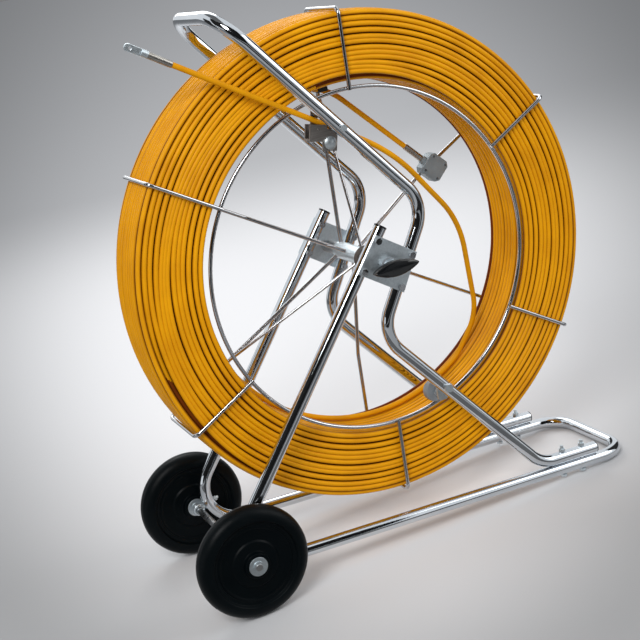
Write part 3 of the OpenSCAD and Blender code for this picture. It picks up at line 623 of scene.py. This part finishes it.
@dataclass
class Cage:
    """The reel's wire cage: six hoops, the front ring and three braces."""

    radius: float = 500 * MM
    front: float = -85 * MM
    rear: float = 69 * MM
    wire_d: float = 8 * MM
    brace_d: float = 6 * MM
    bend_r: float = 13 * MM
    ring_r: float = 346 * MM
    ring_y: float = -77.6 * MM
    leg_from: float = 343 * MM
    hub_r: float = 18 * MM
    root: float = 3 * MM
    slant_r: float = 232 * MM
    slant_bend_r: float = 40 * MM
    brace_r: float = 338 * MM
    brace_y: float = -32 * MM
    phase: float = 27.5
    sides: int = 20

    def _placed(self, spindle: Vector, k: int, corners: list[tuple[float, float]]) -> np.ndarray:
        """Corners given as (distance from the spindle, Y), put at the k-th hoop's angle."""
        flat = np.array(corners)
        x, z = heading(self.phase + 60 * (k - 1))
        return np.stack([spindle.x + flat[:, 0] * x, flat[:, 1], spindle.z + flat[:, 0] * z], axis=-1)

    def hoop(self, spindle: Vector, k: int) -> bpy.types.Object:
        """One hoop: every second one slants in to the middle of the hub."""
        corners = [(self.leg_from, self.front), (self.radius, self.front), (self.radius, self.rear)]
        bends = [0, self.bend_r, self.bend_r]
        if k % 2:
            corners += [(self.slant_r, self.rear), (self.hub_r - self.root, (self.rear + self.brace_y) / 2)]
            bends += [self.slant_bend_r, 0]
        else:
            corners += [(self.hub_r - self.root, self.rear)]
            bends += [0]
        route = Route(self._placed(spindle, k, corners), bends)
        return route.swept(f"hoop_{k}_bent", self.wire_d / 2, self.sides)

    def brace(self, spindle: Vector, k: int) -> bpy.types.Object:
        """One brace, from the front of the hub out to the hoop's rear leg."""
        corners = [(self.hub_r - self.root, self.brace_y), (self.brace_r, self.rear)]
        route = Route(self._placed(spindle, k, corners), [0, 0])
        return route.swept(f"brace_{k}_drawn", self.brace_d / 2, self.sides)

    def build(self, wardrobe: Wardrobe, spindle: Vector) -> None:
        """Makes and dresses the whole cage.

        Args:
            wardrobe: the finishes.
            spindle: the middle of the spindle.
        """
        for k in range(1, 7):
            wardrobe.fitted(self.hoop(spindle, k), f"hoop_{k}")
        for k in (2, 4, 6):
            wardrobe.fitted(self.brace(spindle, k), f"brace_{k}")
        v = np.arange(self.sides) * TAU / self.sides
        section = np.stack([np.cos(v), np.sin(v)], axis=-1) * self.wire_d / 2 + np.array([self.ring_r, 0])
        centre = Vector((spindle.x, self.ring_y, spindle.z))
        wardrobe.fitted(revolved("front_ring_rolled", section, centre, 240), "front_ring")


@dataclass
class RodEnds:
    """The two ends of the rod that leave the coil: the live one through the guide and the anchored one."""

    rod_d: float = 11 * MM
    tip: tuple[float, float, float] = (-370.03 * MM, -101 * MM, 495.01 * MM)
    past_guide: tuple[float, float, float] = (74.97 * MM, -97 * MM, 208.01 * MM)
    falling: tuple[float, float, float] = (228 * MM, -40 * MM, 17 * MM)
    low: tuple[float, float, float] = (256 * MM, 5 * MM, -208 * MM)
    lie_r: float = 352.1 * MM
    lie_y: float = 20 * MM
    lie_from: float = -60.0
    lie_sweep: float = 95.0
    lead: float = 26 * MM
    anchored_y: float = 50 * MM
    anchored_from: float = 96.0
    anchored_top: tuple[float, float] = (22 * MM, 345 * MM)
    box_r: float = 264 * MM
    box_reach: float = 33 * MM
    box_at: float = 27.5
    sides: int = 24

    def live(self, spindle: Vector) -> Route:
        """The live end, from its tip through the guide and into the cage, where it lies inside the coil."""
        start = self.lie_r * heading(self.lie_from)
        along = -heading(self.lie_from + 90)
        lead = start - self.lead * along
        corner = start + self.lie_r * math.tan(math.radians(self.lie_sweep / 2)) * along
        end = self.lie_r * heading(self.lie_from - self.lie_sweep)
        flat = [(p[0], self.lie_y, p[1]) for p in (lead, corner, end)]
        corners = np.array([self.tip, self.past_guide, self.falling, self.low, *flat])
        corners += np.array([spindle.x, 0, spindle.z])
        bends = [0, 400 * MM, 250 * MM, 120 * MM, 80 * MM, self.lie_r, 0]
        return Route(corners, bends, math.radians(2))

    def anchored(self, spindle: Vector) -> Route:
        """The anchored end, from inside the coil over the top of the cage and down to the anchor box."""
        start = self.lie_r * heading(self.anchored_from)
        top = np.array(self.anchored_top)
        box = self.box_r * heading(self.box_at)
        fall = (box - top) / np.linalg.norm(box - top)
        flat = [start, top, box - self.box_reach * fall]
        corners = np.array([(p[0] + spindle.x, self.anchored_y, p[1] + spindle.z) for p in flat])
        return Route(corners, [0, 130 * MM, 0], math.radians(2))

    def build(self, wardrobe: Wardrobe, spindle: Vector) -> None:
        """Makes and dresses both ends.

        Args:
            wardrobe: the finishes.
            spindle: the middle of the spindle.
        """
        radius = self.rod_d / 2
        wardrobe.fitted(self.live(spindle).swept("live_end", radius, self.sides), "live_rod")
        wardrobe.fitted(self.anchored(spindle).swept("anchored_end", radius, self.sides), "anchored_rod")


@dataclass
class Hardware:
    """Plates, bolts, nuts, caps and castings with their sharp edges broken by a small bevel."""

    bevels: dict[str, float] = field(
        default_factory=lambda: {
            "hub_plate_front": 0.8 * MM,
            "hub_plate_rear": 0.8 * MM,
            "plate_bolts": 0.5 * MM,
            "plate_nuts": 0.4 * MM,
            "foot_bolts": 0.5 * MM,
            "foot_nuts": 0.4 * MM,
            "strut_caps": 1.2 * MM,
            "foot_caps": 0.8 * MM,
            "spindle": 0.6 * MM,
            "spindle_nut": 0.6 * MM,
            "rear_spacer": 0.5 * MM,
            "plate_bush": 0.5 * MM,
            "axle_nuts": 0.4 * MM,
            "wheel_washers": 0.6 * MM,
            "axle_clips": 0.4 * MM,
            "wheel_axle": 0.8 * MM,
            "axle_eye_bolts": 0.3 * MM,
            "hub_bushes": 0.4 * MM,
            "reel_hub": 0.6 * MM,
            "anchor_box": 1.2 * MM,
            "anchor_cover": 0.8 * MM,
            "anchor_fixings": 0.4 * MM,
            "anchor_ferrule": 0.3 * MM,
            "tip_ferrule": 0.3 * MM,
            "pulling_eye": 0.5 * MM,
            "rod_clip": 0.8 * MM,
            "guide_frame": 0.7 * MM,
            "guide_pins": 0.4 * MM,
            "guide_bolt": 0.5 * MM,
            "guide_low_roller": 1.0 * MM,
            "guide_top_roller": 1.0 * MM,
            "steady_roller": 2.5 * MM,
            "steady_bolt": 0.6 * MM,
            "steady_pin": 0.6 * MM,
            "steady_bracket": 0.6 * MM,
            "brake_shoe": 0.8 * MM,
            "knob_sleeve": 0.5 * MM,
            "shoe_pins": 0.4 * MM,
        }
    )
    other_finish: dict[str, str] = field(
        default_factory=lambda: {
            "plate_bolts": "wire",
            "plate_nuts": "wire",
            "anchor_fixings": "wire",
            "pulling_eye": "zinc",
        }
    )

    def soften(self, node: str, width: float) -> bpy.types.Object:
        """A copy of a CAD node with its coplanar triangles merged and its sharp edges bevelled.

        Args:
            node: the CAD node to copy.
            width: the bevel's width in metres.

        Returns:
            The new object.
        """
        mesh = frame["nodes"][node].data.copy()
        mesh.name = f"{node}_finished"
        made = bmesh.new()
        made.from_mesh(mesh)
        bmesh.ops.remove_doubles(made, verts=made.verts, dist=WELD)
        bmesh.ops.dissolve_limit(made, angle_limit=FLAT, verts=made.verts, edges=made.edges, delimit=set())
        made.to_mesh(mesh)
        made.free()
        mesh.polygons.foreach_set("use_smooth", np.ones(len(mesh.polygons), dtype=bool))
        mesh.set_sharp_from_angle(angle=HARD_EDGE)
        piece = bpy.data.objects.new(f"{node}_finished", mesh)
        bpy.context.scene.collection.objects.link(piece)
        bevel = piece.modifiers.new("broken_edges", "BEVEL")
        bevel.width = width
        bevel.segments = 2
        bevel.limit_method = "ANGLE"
        bevel.angle_limit = HARD_EDGE
        bevel.use_clamp_overlap = True
        bevel.harden_normals = True
        return piece

    def build(self, wardrobe: Wardrobe) -> None:
        """Makes and dresses every softened piece.

        Args:
            wardrobe: the finishes.
        """
        for node, width in self.bevels.items():
            wardrobe.dress(self.soften(node, width), node, self.other_finish.get(node, ""))


@dataclass
class RodCoil:
    """The turns of rod in the cage.

    Each face of the coil is a flat spiral, and its rim and its bore are helices, with a second layer of
    turns under each, and a plain core where no turn can be seen.
    """

    rod_d: float = 10.8 * MM
    inner_r: float = 358 * MM
    steps: int = 150
    sides: int = 12
    face_turns: int = 11
    rim_turns: int = 10
    corner: float = 8.8 * MM
    wander: float = 1.3 * MM
    sink: float = 1.6 * MM
    climb: float = 0.18
    dive_len: float = 0.07
    under: float = 9.3 * MM
    uneven: tuple[float, float] = (0.78, 1.3)
    face_step: float = 0.25
    face_drift: float = 0.045
    rim_step: float = 0.35
    # Painted shade between turns spreads over these degrees from the rod's crown.
    groove_shade_span: tuple[float, float] = (50.0, 90.0)
    core_corner: float = 4 * MM
    core_depth: float = 1.5
    face_margin: float = 0.95
    rim_margin: float = 0.9
    corner_wander: float = 0.3
    under_turn: float = 2.1
    seed: int = 7
    rng: np.random.Generator = field(init=False)

    def __post_init__(self) -> None:
        """Reads the coil's place from its CAD node."""
        low, high = (Vector(c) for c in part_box("rod_coil"))
        self.rng = np.random.default_rng(self.seed)
        self.centre = (low + high) / 2
        self.outer_r = (high.x - low.x) / 2
        self.half_width = (high.y - low.y) / 2

    def _places(self, low: float, high: float, turns: int) -> tuple[np.ndarray, np.ndarray]:
        """Uneven places of turns from low to high, and the step from each one to the next.

        Args:
            low: place of the first turn.
            high: place of the last turn.
            turns: how many turns there are.

        Returns:
            The places and the steps. The last turn keeps its place, so its step is zero.
        """
        steps = self.rng.uniform(*self.uneven, turns - 1)
        steps *= (high - low) / steps.sum()
        return low + np.concatenate([[0.0], np.cumsum(steps)]), np.append(steps, 0.0)

    def _wound(
        self, low: float, high: float, turns: int, first: float, drift: float
    ) -> tuple[np.ndarray, np.ndarray, np.ndarray]:
        """A winding that keeps each turn's place and steps to the next one's along a smooth step.

        The step of turn k starts at the share first + k drift of that turn and is climb long. The winding
        starts where the first step would end one turn earlier, and ends where the last one would start, so
        no place holds two turns.

        Args:
            low: place of the first turn.
            high: place of the last turn.
            turns: how many turns there are.
            first: share of the first turn at which its step starts.
            drift: how much later each turn's step starts.

        Returns:
            The turn counted from the start, with its fraction, the place, and how far the rod has dived under
            the other turns (1 at both ends and 0 elsewhere), at each point of the winding.
        """
        places, steps = self._places(low, high, turns)
        begin, end = first + self.climb - 1, (turns - 1) * (1 + drift) + first
        turn = np.linspace(begin, end, round(self.steps * (end - begin)) + 1)
        whole = np.clip(np.floor(turn), 0, turns - 1).astype(int)
        s = np.clip((turn - whole - first - drift * whole) / self.climb, 0, 1)
        dive = np.clip(1 - np.minimum(turn - begin, end - turn) / self.dive_len, 0, 1)
        return turn, places[whole] + s * s * (3 - 2 * s) * steps[whole], dive * dive * (3 - 2 * dive)

    def _waves(self, angle: np.ndarray, turn: np.ndarray, drift: float) -> np.ndarray:
        """Slow waves round the coil that change a little from turn to turn, between -1 and 1.

        It is the mean of three sines of two, three and five waves a turn, whose phases drift with the turn.
        """
        total = np.zeros_like(angle)
        for waves in (2, 3, 5):
            total += np.sin(waves * angle + self.rng.uniform(0, TAU) + drift * waves * turn)
        return total / 3

    def _tube(
        self, name: str, angle: np.ndarray, r: np.ndarray, y: np.ndarray, crown: float
    ) -> bpy.types.Object:
        """A round rod along a path given by angle, radius and place across the coil.

        The ring of points at each step is the path's point plus rod_d / 2 times (cos v) outwards from the
        spindle plus (sin v) along it. Flat caps close both ends. The groove attribute, the mask of the painted
        shade between touching turns, rises from 0 to 1 over groove_shade_span, in degrees from the crown: at
        90 degrees two turns touch.

        Args:
            name: the piece's name.
            angle: angles round the spindle.
            r: distances from the spindle.
            y: places across the coil, from its middle.
            crown: the angle v of the side that shows.

        Returns:
            The new object, with its groove attribute, the mask of the painted shade.
        """
        v = np.arange(self.sides) * TAU / self.sides
        reach = r[:, None] + self.rod_d / 2 * np.cos(v)[None, :]
        across = y[:, None] + self.rod_d / 2 * np.sin(v)[None, :]
        points = np.stack(
            [
                self.centre.x + reach * np.cos(angle)[:, None],
                self.centre.y + across,
                self.centre.z + reach * np.sin(angle)[:, None],
            ],
            axis=-1,
        )
        piece = new_piece(name, points, bar_faces(len(angle), self.sides))
        # Painted shade mask: 0 on the crown, rising to 1 where the rod meets the next turn.
        off = np.abs((v - crown + math.pi) % TAU - math.pi)
        start, end = self.groove_shade_span
        groove = np.clip((np.degrees(off) - start) / (end - start), 0, 1)
        attribute = piece.data.attributes.new("groove", "FLOAT", "POINT")
        attribute.data.foreach_set("value", np.tile(groove, len(angle)))
        return piece

    def face_spiral(self, side: Side, depth: float, phase: float, name: str) -> bpy.types.Object:
        """Turns that lie side by side on one face of the coil.

        Each turn keeps its radius for most of the way round and climbs to the next one's, a little later
        from turn to turn.

        Args:
            side: which face.
            depth: how deep the turns lie under the face.
            phase: share of a turn's width that they are shifted outwards.
            name: the piece's name.

        Returns:
            The new object.
        """
        rod_r = self.rod_d / 2
        low = self.inner_r + rod_r + self.wander + self.rod_d * phase
        high = self.outer_r - self.corner - self.face_margin * self.rod_d
        turn, r, dive = self._wound(low, high, self.face_turns, self.face_step, self.face_drift)
        angle = TAU * turn
        r += self.wander * self._waves(angle, turn, 0.10)
        sunk = self.sink * 0.5 * (1 + self._waves(angle, turn, 0.6)) + dive * self.under
        y = side.value * (self.half_width - rod_r - depth - sunk)
        return self._tube(name, angle + phase * self.under_turn + side.value, r, y, side.value * math.pi / 2)

    def rim_helix(self, radius: float, turns: int, outward: int, name: str) -> bpy.types.Object:
        """Turns side by side across the rim or the bore of the coil.

        Each turn keeps its place across the coil for most of the way round and steps to the next one's.

        Args:
            radius: distance of the turns from the spindle.
            turns: how many lie across the coil.
            outward: 1 on the rim and -1 in the bore: they sink the other way.
            name: the piece's name.

        Returns:
            The new object.
        """
        rod_r = self.rod_d / 2
        reach = self.half_width - self.corner - self.rim_margin * self.rod_d
        turn, y, dive = self._wound(-reach, reach, turns, self.rim_step, 0.0)
        angle = TAU * turn
        sunk = self.sink * 0.5 * (1 + self._waves(angle, turn, 0.5)) + dive * self.under
        return self._tube(name, angle, radius - outward * sunk, y, 0.0 if outward > 0 else math.pi)

    def corner_turn(self, side: Side) -> bpy.types.Object:
        """The turn that lies between a face and the rim, clear of the hoops' bends."""
        angle = np.linspace(0, TAU, 2 * self.steps + 1)
        wave = self.corner_wander * self.wander * self._waves(angle, angle, 0.0)
        r = self.outer_r - self.corner + wave
        y = side.value * (self.half_width - self.corner) + wave
        return self._tube(f"coil_{side.name.lower()}_corner_turn", angle, r, y, side.value * math.pi / 4)

    def core(self) -> bpy.types.Object:
        """The hidden middle of the coil, as one ring with rounded corners."""
        hidden = self.core_depth * self.rod_d
        low, high = self.inner_r + hidden, self.outer_r - hidden
        half = self.half_width - hidden
        corners = np.array([[low, -half], [high, -half], [high, half], [low, half]])
        profile = rounded(corners, [self.core_corner] * 4)
        return revolved("coil_core", profile, self.centre, self.steps)

    def build(self, wardrobe: Wardrobe) -> None:
        """Makes and dresses the coil.

        Args:
            wardrobe: the finishes.
        """
        rod_r = self.rod_d / 2
        rim, bore = self.outer_r - rod_r, self.inner_r + rod_r
        top = [
            self.face_spiral(Side.FRONT, 0.0, 0.0, "coil_front_turns"),
            self.face_spiral(Side.REAR, 0.0, 0.0, "coil_rear_turns"),
            self.rim_helix(rim, self.rim_turns, 1, "coil_rim_turns"),
            self.rim_helix(bore, self.rim_turns, -1, "coil_bore_turns"),
            self.corner_turn(Side.FRONT),
            self.corner_turn(Side.REAR),
        ]
        under_turns = [
            self.face_spiral(Side.FRONT, self.under, 0.5, "coil_front_under_turns"),
            self.face_spiral(Side.REAR, self.under, 0.5, "coil_rear_under_turns"),
            self.rim_helix(rim - self.under, self.rim_turns + 1, 1, "coil_rim_under_turns"),
            self.rim_helix(bore + self.under, self.rim_turns + 1, -1, "coil_bore_under_turns"),
            self.core(),
        ]
        for piece in top:
            wardrobe.dress(piece, "rod_coil")
        for piece in under_turns:
            wardrobe.dress(piece, "rod_coil", "shaded_glass_fibre")


@dataclass
class Wheel:
    """One solid wheel: a rubber tyre on a domed plastic core."""

    side: Side
    core_r: float = 78 * MM
    boss_r: float = 26 * MM
    bore_r: float = 7.1 * MM
    step: float = 7 * MM
    shoulder: float = 19.5 * MM
    segments: int = 144

    def __post_init__(self) -> None:
        """Reads the wheel's place from its CAD nodes."""
        name = self.side.name.lower()
        low, high = (Vector(c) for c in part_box(f"tyre_{name}"))
        self.centre = (low + high) / 2
        self.radius = (high.z - low.z) / 2
        self.half = (high.y - low.y) / 2
        low, high = (Vector(c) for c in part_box(f"wheel_core_{name}"))
        self.boss_half = (high.y - low.y) / 2

    def _moulded(self, name: str, side: list[tuple[float, float, float]]) -> bpy.types.Object:
        """Turns a section whose half is given as (radius, place across, corner radius in millimetres)."""
        whole = side + [(a, -b, c) for a, b, c in reversed(side)]
        profile = rounded(np.array([corner[:2] for corner in whole]), [c * MM for _, _, c in whole], 5)
        return revolved(name, profile, self.centre, self.segments)

    def tyre(self) -> bpy.types.Object:
        """The tyre: round-shouldered, stepped in to the core, with a raised mould line round the tread."""
        r, h = self.radius, self.half
        side = [
            (self.core_r, h - self.step, 0.4),
            (self.core_r + 6.5 * MM, h - self.step + 0.6 * MM, 1.2),
            (self.core_r + 9.5 * MM, h, 2.2),
            (r - 0.4 * MM, h, self.shoulder / MM),
            (r - 0.4 * MM, 1.5 * MM, 0.2),
            (r, 0.9 * MM, 0.2),
        ]
        return self._moulded(f"tyre_{self.side.name.lower()}_moulded", side)

    def core(self) -> bpy.types.Object:
        """The core: a web with a shallow ring and a cone up to the boss on both faces."""
        web = self.half - self.step
        side = [
            (self.bore_r, self.boss_half, 0.3),
            (self.boss_r - 1 * MM, self.boss_half, 1.6),
            (self.boss_r + 1 * MM, web + 3.5 * MM, 2.0),
            (0.58 * self.core_r, web + 2.5 * MM, 2.5),
            (0.62 * self.core_r, web - 0.8 * MM, 1.2),
            (0.90 * self.core_r, web - 0.8 * MM, 1.2),
            (0.94 * self.core_r, web + 0.6 * MM, 1.0),
            (self.core_r - 0.15 * MM, web, 0.8),
        ]
        return self._moulded(f"wheel_{self.side.name.lower()}_moulded", side)

    def build(self, wardrobe: Wardrobe) -> None:
        """Makes and dresses the wheel.

        Args:
            wardrobe: the finishes.
        """
        name = self.side.name.lower()
        wardrobe.dress(self.tyre(), f"tyre_{name}")
        wardrobe.dress(self.core(), f"wheel_core_{name}")
        LOG.info("%s wheel: radius %.3f m", name, self.radius)


@dataclass
class BrakeKnob:
    """The knob's moulded wing, with a lens outline, a crowned face and rounded rims."""

    around: int = 144
    rim: float = 4.5 * MM
    crown: float = 1.5 * MM
    taper: float = 0.72

    def __post_init__(self) -> None:
        """Reads the wing's place from its CAD node."""
        low, high = (Vector(c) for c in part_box("brake_knob"))
        self.centre = (low + high) / 2
        self.size = high - low

    def outline(self, turn: np.ndarray) -> tuple[np.ndarray, np.ndarray]:
        """The wing's outline: a lens whose half width falls as the square of the distance from its middle.

        x = (length / 2) cos t, z = (width / 2) sin t times the square root of (1 - taper cos^2 t), which
        draws the two ends to soft points.

        Args:
            turn: the parameter t.

        Returns:
            The outline's x and z.
        """
        x = self.size.x / 2 * np.cos(turn)
        z = self.size.z / 2 * np.sin(turn) * np.sqrt(1 - self.taper * np.cos(turn) ** 2)
        return x, z

    def build(self, wardrobe: Wardrobe) -> None:
        """Makes and dresses the wing.

        Rings of the outline shrink along a quarter circle at both rims and then run in to the middle of each
        face, which is crowned by crown times one minus the share squared.

        Args:
            wardrobe: the finishes.
        """
        turn = np.arange(self.around) * TAU / self.around
        x, z = self.outline(turn)
        half = self.size.y / 2
        quarter = np.linspace(0, math.pi / 2, 6)
        inner = np.linspace(0.8, 0.04, 8)
        length = math.hypot(self.size.x, self.size.z) / 2
        rings = [(x * k, z * k, -(half - self.crown * (k * k))) for k in inner[::-1]]
        for sign, steps in ((-1, quarter[::-1]), (1, quarter)):
            for s in steps:
                inset = self.rim * (1 - math.cos(s))
                y = sign * (half - self.crown - self.rim + self.rim * math.sin(s))
                rings.append((x * (1 - inset / length), z * (1 - inset / (self.size.z / 2)), y))
        rings += [(x * k, z * k, half - self.crown * (k * k)) for k in inner]
        points = np.stack(
            [
                np.stack([self.centre.x + a, np.full_like(a, self.centre.y + b), self.centre.z + c], axis=-1)
                for a, c, b in rings
            ]
        )
        wardrobe.dress(new_piece("knob_wing", points, bar_faces(len(rings), self.around)), "brake_knob")


# ---------------------------------------------------------------------------
# Studio
# ---------------------------------------------------------------------------


@dataclass
class Studio:
    """The camera, the pale floor, the soft lamps and the dark cards that the chrome reflects."""

    azimuth: float = -21.53
    elevation: float = 16.69
    roll: float = -11.6
    distance: float = 2.6934
    target: Colour = (-0.0982, 0.0, 0.4782)
    lens: float = 73.71
    sensor: float = 36.0
    floor_size: float = 400.0
    floor_near: Colour = (0.86, 0.86, 0.87)
    floor_far: Colour = (0.36, 0.363, 0.368)
    fade: tuple[float, float] = (0.5, 1.5)
    fade_height: float = 1.1
    floor_drop: float = 0.5 * MM
    sky: Colour = (0.95, 0.97, 1.0)
    sky_in_chrome: Colour = (0.88, 0.90, 0.92)
    sky_strength: float = 0.55

    def camera(self) -> None:
        """Places the camera: it looks at the target from azimuth and elevation, rolled about its view."""
        a, e, r = (math.radians(v) for v in (self.azimuth, self.elevation, self.roll))
        back = Vector((math.sin(a) * math.cos(e), -math.cos(a) * math.cos(e), math.sin(e)))
        right = (-back).cross(Vector((0, 0, 1))).normalized()
        up = right.cross(-back)
        turned_right = math.cos(r) * right + math.sin(r) * up
        turned_up = math.cos(r) * up - math.sin(r) * right
        data = bpy.data.cameras.new("camera")
        data.lens = self.lens
        data.sensor_width = self.sensor
        data.clip_end = 100
        camera = bpy.data.objects.new("camera", data)
        place = Matrix((turned_right, turned_up, back)).transposed().to_4x4()
        place.translation = Vector(self.target) + back * self.distance
        camera.matrix_world = place
        bpy.context.scene.collection.objects.link(camera)
        bpy.context.scene.camera = camera

    def floor(self) -> None:
        """The floor, just under the wheels: nearly white behind and under the reel, and grey further out,
        which is painted light: a painted pool of light in the middle of the view and painted shade towards its
        edges.

        With s the distance sideways and d the distance ahead of the point below the viewer, who stands h
        above the floor, the shade follows the length of (s / d, h / d - tan of the view's elevation), divided
        by the tangent of half the angle of view. So the white part is an ellipse that is long along the view.
        """
        half = self.floor_size / 2
        points = np.array([[-half, -half, 0], [half, -half, 0], [half, half, 0], [-half, half, 0]])
        floor = new_piece("floor", points, [[0, 1, 2, 3]])
        material = bpy.data.materials.new("floor_paint")
        material.use_nodes = True
        tree = material.node_tree
        a, e = math.radians(self.azimuth), math.radians(self.elevation)
        ahead = Vector((-math.sin(a), math.cos(a), 0))
        height = self.target[2] + self.distance * math.sin(e)
        half_view = self.sensor / 2 / self.lens
        foot = Vector((self.target[0], self.target[1], 0)) - ahead * self.distance * math.cos(e)
        where = add_node(tree, "TexCoord").outputs["Object"]
        inputs = {"Vector": where, "Location": foot, "Rotation": (0, 0, a)}
        local = add_node(tree, "Mapping", inputs, vector_type="TEXTURE")
        place = add_node(tree, "SeparateXYZ", {"Vector": local.outputs["Vector"]}).outputs
        beside = add_node(tree, "Math", {0: place["X"], 1: place["Y"]}, operation="DIVIDE")
        below = add_node(tree, "Math", {0: height, 1: place["Y"]}, operation="DIVIDE")
        shares = add_node(tree, "CombineXYZ", {"X": beside.outputs["Value"], "Y": below.outputs["Value"]})
        inputs = {
            "Vector": shares.outputs["Vector"],
            "Location": (0, math.tan(e), 0),
            "Scale": (half_view, half_view * self.fade_height, 1),
        }
        view = add_node(tree, "Mapping", inputs, vector_type="TEXTURE")
        far = add_node(tree, "VectorMath", {0: view.outputs["Vector"]}, operation="LENGTH")
        inputs = {"Value": far.outputs["Value"], "From Min": self.fade[0], "From Max": self.fade[1]}
        spread = add_node(tree, "MapRange", inputs, interpolation_type="SMOOTHSTEP")
        shader = tree.nodes["Principled BSDF"].inputs
        shader["Roughness"].default_value = 1.0
        shader["Specular IOR Level"].default_value = 0.0
        # Painted light: pale in the middle of the camera's view, with painted shade further out.
        shade = mixed(tree, spread.outputs["Result"], self.floor_near, self.floor_far)
        tree.links.new(shade, shader["Base Color"])
        floor.data.materials.append(material)
        floor.location.z = -self.floor_drop

    def card(self, name: str, place: Vector, look: Vector, size: tuple[float, float], shade: float) -> None:
        """A large flat card that only reflections see, glowing at its grey level instead of taking light from
        the lamps.

        Args:
            name: the card's name.
            place: its middle.
            look: the point that it faces.
            size: its width and height.
            shade: its grey level.
        """
        out = (look - place).normalized()
        across = out.cross(Vector((0, 0, 1))).normalized() * size[0] / 2
        up = across.cross(out).normalized() * size[1] / 2
        corners = [place - across - up, place + across - up, place + across + up, place - across + up]
        card = new_piece(name, np.array([list(c) for c in corners]), [[0, 1, 2, 3]])
        material = bpy.data.materials.new(f"{name}_paint")
        material.use_nodes = True
        tree = material.node_tree
        tree.nodes.clear()
        glow = add_node(tree, "Emission", {"Color": (shade, shade, shade, 1)})
        add_node(tree, "OutputMaterial", {"Surface": glow.outputs["Emission"]})
        card.data.materials.append(material)
        for ray in ("camera", "diffuse", "shadow", "transmission"):
            setattr(card, f"visible_{ray}", False)

    def lamp(self, name: str, place: Vector, look: Vector, size: float, power: float) -> None:
        """A square soft lamp.

        Args:
            name: the lamp's name.
            place: its middle.
            look: the point that it lights.
            size: its side in metres.
            power: its power in watts.
        """
        data = bpy.data.lights.new(name, "AREA")
        data.shape = "SQUARE"
        data.size = size
        data.energy = power
        lamp = bpy.data.objects.new(name, data)
        lamp.location = place
        lamp.rotation_euler = (look - place).to_track_quat("-Z", "Y").to_euler()
        bpy.context.scene.collection.objects.link(lamp)

    def world(self) -> None:
        """The world: pale grey to the camera and through glass, white in reflections, and soft as a light."""
        world = bpy.data.worlds.new("studio")
        bpy.context.scene.world = world
        world.use_nodes = True
        tree = world.node_tree
        tree.nodes.clear()
        path = add_node(tree, "LightPath").outputs
        soft = add_node(tree, "Background", {"Color": (*self.sky, 1), "Strength": self.sky_strength})
        white = add_node(tree, "Background", {"Color": (*self.sky_in_chrome, 1)})
        pale = add_node(tree, "Background", {"Color": (*self.floor_far, 1), "Strength": self.sky_strength})
        inputs = {"Fac": path["Is Glossy Ray"], 1: soft.outputs["Background"], 2: white.outputs["Background"]}
        shiny = add_node(tree, "MixShader", inputs)
        inputs = {0: path["Is Camera Ray"], 1: path["Is Transmission Ray"]}
        seen = add_node(tree, "Math", inputs, operation="MAXIMUM")
        inputs = {"Fac": seen.outputs["Value"], 1: shiny.outputs["Shader"], 2: pale.outputs["Background"]}
        mix = add_node(tree, "MixShader", inputs)
        add_node(tree, "OutputWorld", {"Surface": mix.outputs["Shader"]})

    def build(self) -> None:
        """Sets up the whole studio."""
        middle = Vector((0, 0, 0.6))
        self.camera()
        self.floor()
        self.world()
        self.lamp("key_lamp", Vector((-2.2, -2.6, 3.2)), middle, 1.6, 100)
        self.lamp("fill_lamp", Vector((2.8, -1.8, 2.2)), middle, 2.0, 30)
        self.lamp("back_lamp", Vector((0.5, 2.8, 2.8)), middle, 2.2, 45)
        self.card("dark_card_front", Vector((-1.25, -3.3, 2.9)), Vector((0, 0, 1.4)), (8.4, 6.0), 0.012)
        low = Vector((-0.4, -2.2, 0.004))
        self.card("dark_card_floor", low, Vector((-0.4, -2.1, 3.0)), (7.0, 2.6), 0.02)
        low = Vector((0.2, -0.40, 0.004))
        self.card("grey_card_floor", low, Vector((0.2, -0.30, 3.0)), (4.4, 0.98), 0.15)
        self.card("dark_card_high", Vector((-3.1, -0.6, 2.8)), middle, (2.0, 3.4), 0.02)
        self.card("grey_card_top", Vector((-0.7, 0.3, 3.9)), middle, (3.0, 2.0), 0.16)
        self.card("dark_card_right", Vector((3.4, 0.6, 1.2)), middle, (2.4, 3.2), 0.03)
        self.card("dark_card_left", Vector((-3.4, 1.4, 1.0)), middle, (1.6, 3.0), 0.03)
        self.card("dark_card_rear", Vector((1.6, 3.6, 1.4)), middle, (1.4, 3.0), 0.04)
        bpy.context.scene.view_settings.view_transform = "Standard"


def main() -> None:
    """Builds the studio, the finishes and every sub-assembly."""
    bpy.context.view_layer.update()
    Studio().build()
    wardrobe = Wardrobe()
    wardrobe.dress_nodes()
    low, high = (Vector(c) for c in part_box("reel_hub"))
    spindle = (low + high) / 2
    Stand().build(wardrobe, spindle)
    Cage().build(wardrobe, spindle)
    RodCoil().build(wardrobe)
    RodEnds().build(wardrobe, spindle)
    for side in Side:
        Wheel(side).build(wardrobe)
    BrakeKnob().build(wardrobe)
    Hardware().build(wardrobe)


if __name__ == "__main__":
    logging.basicConfig(level=logging.INFO, format="%(message)s")
    main()
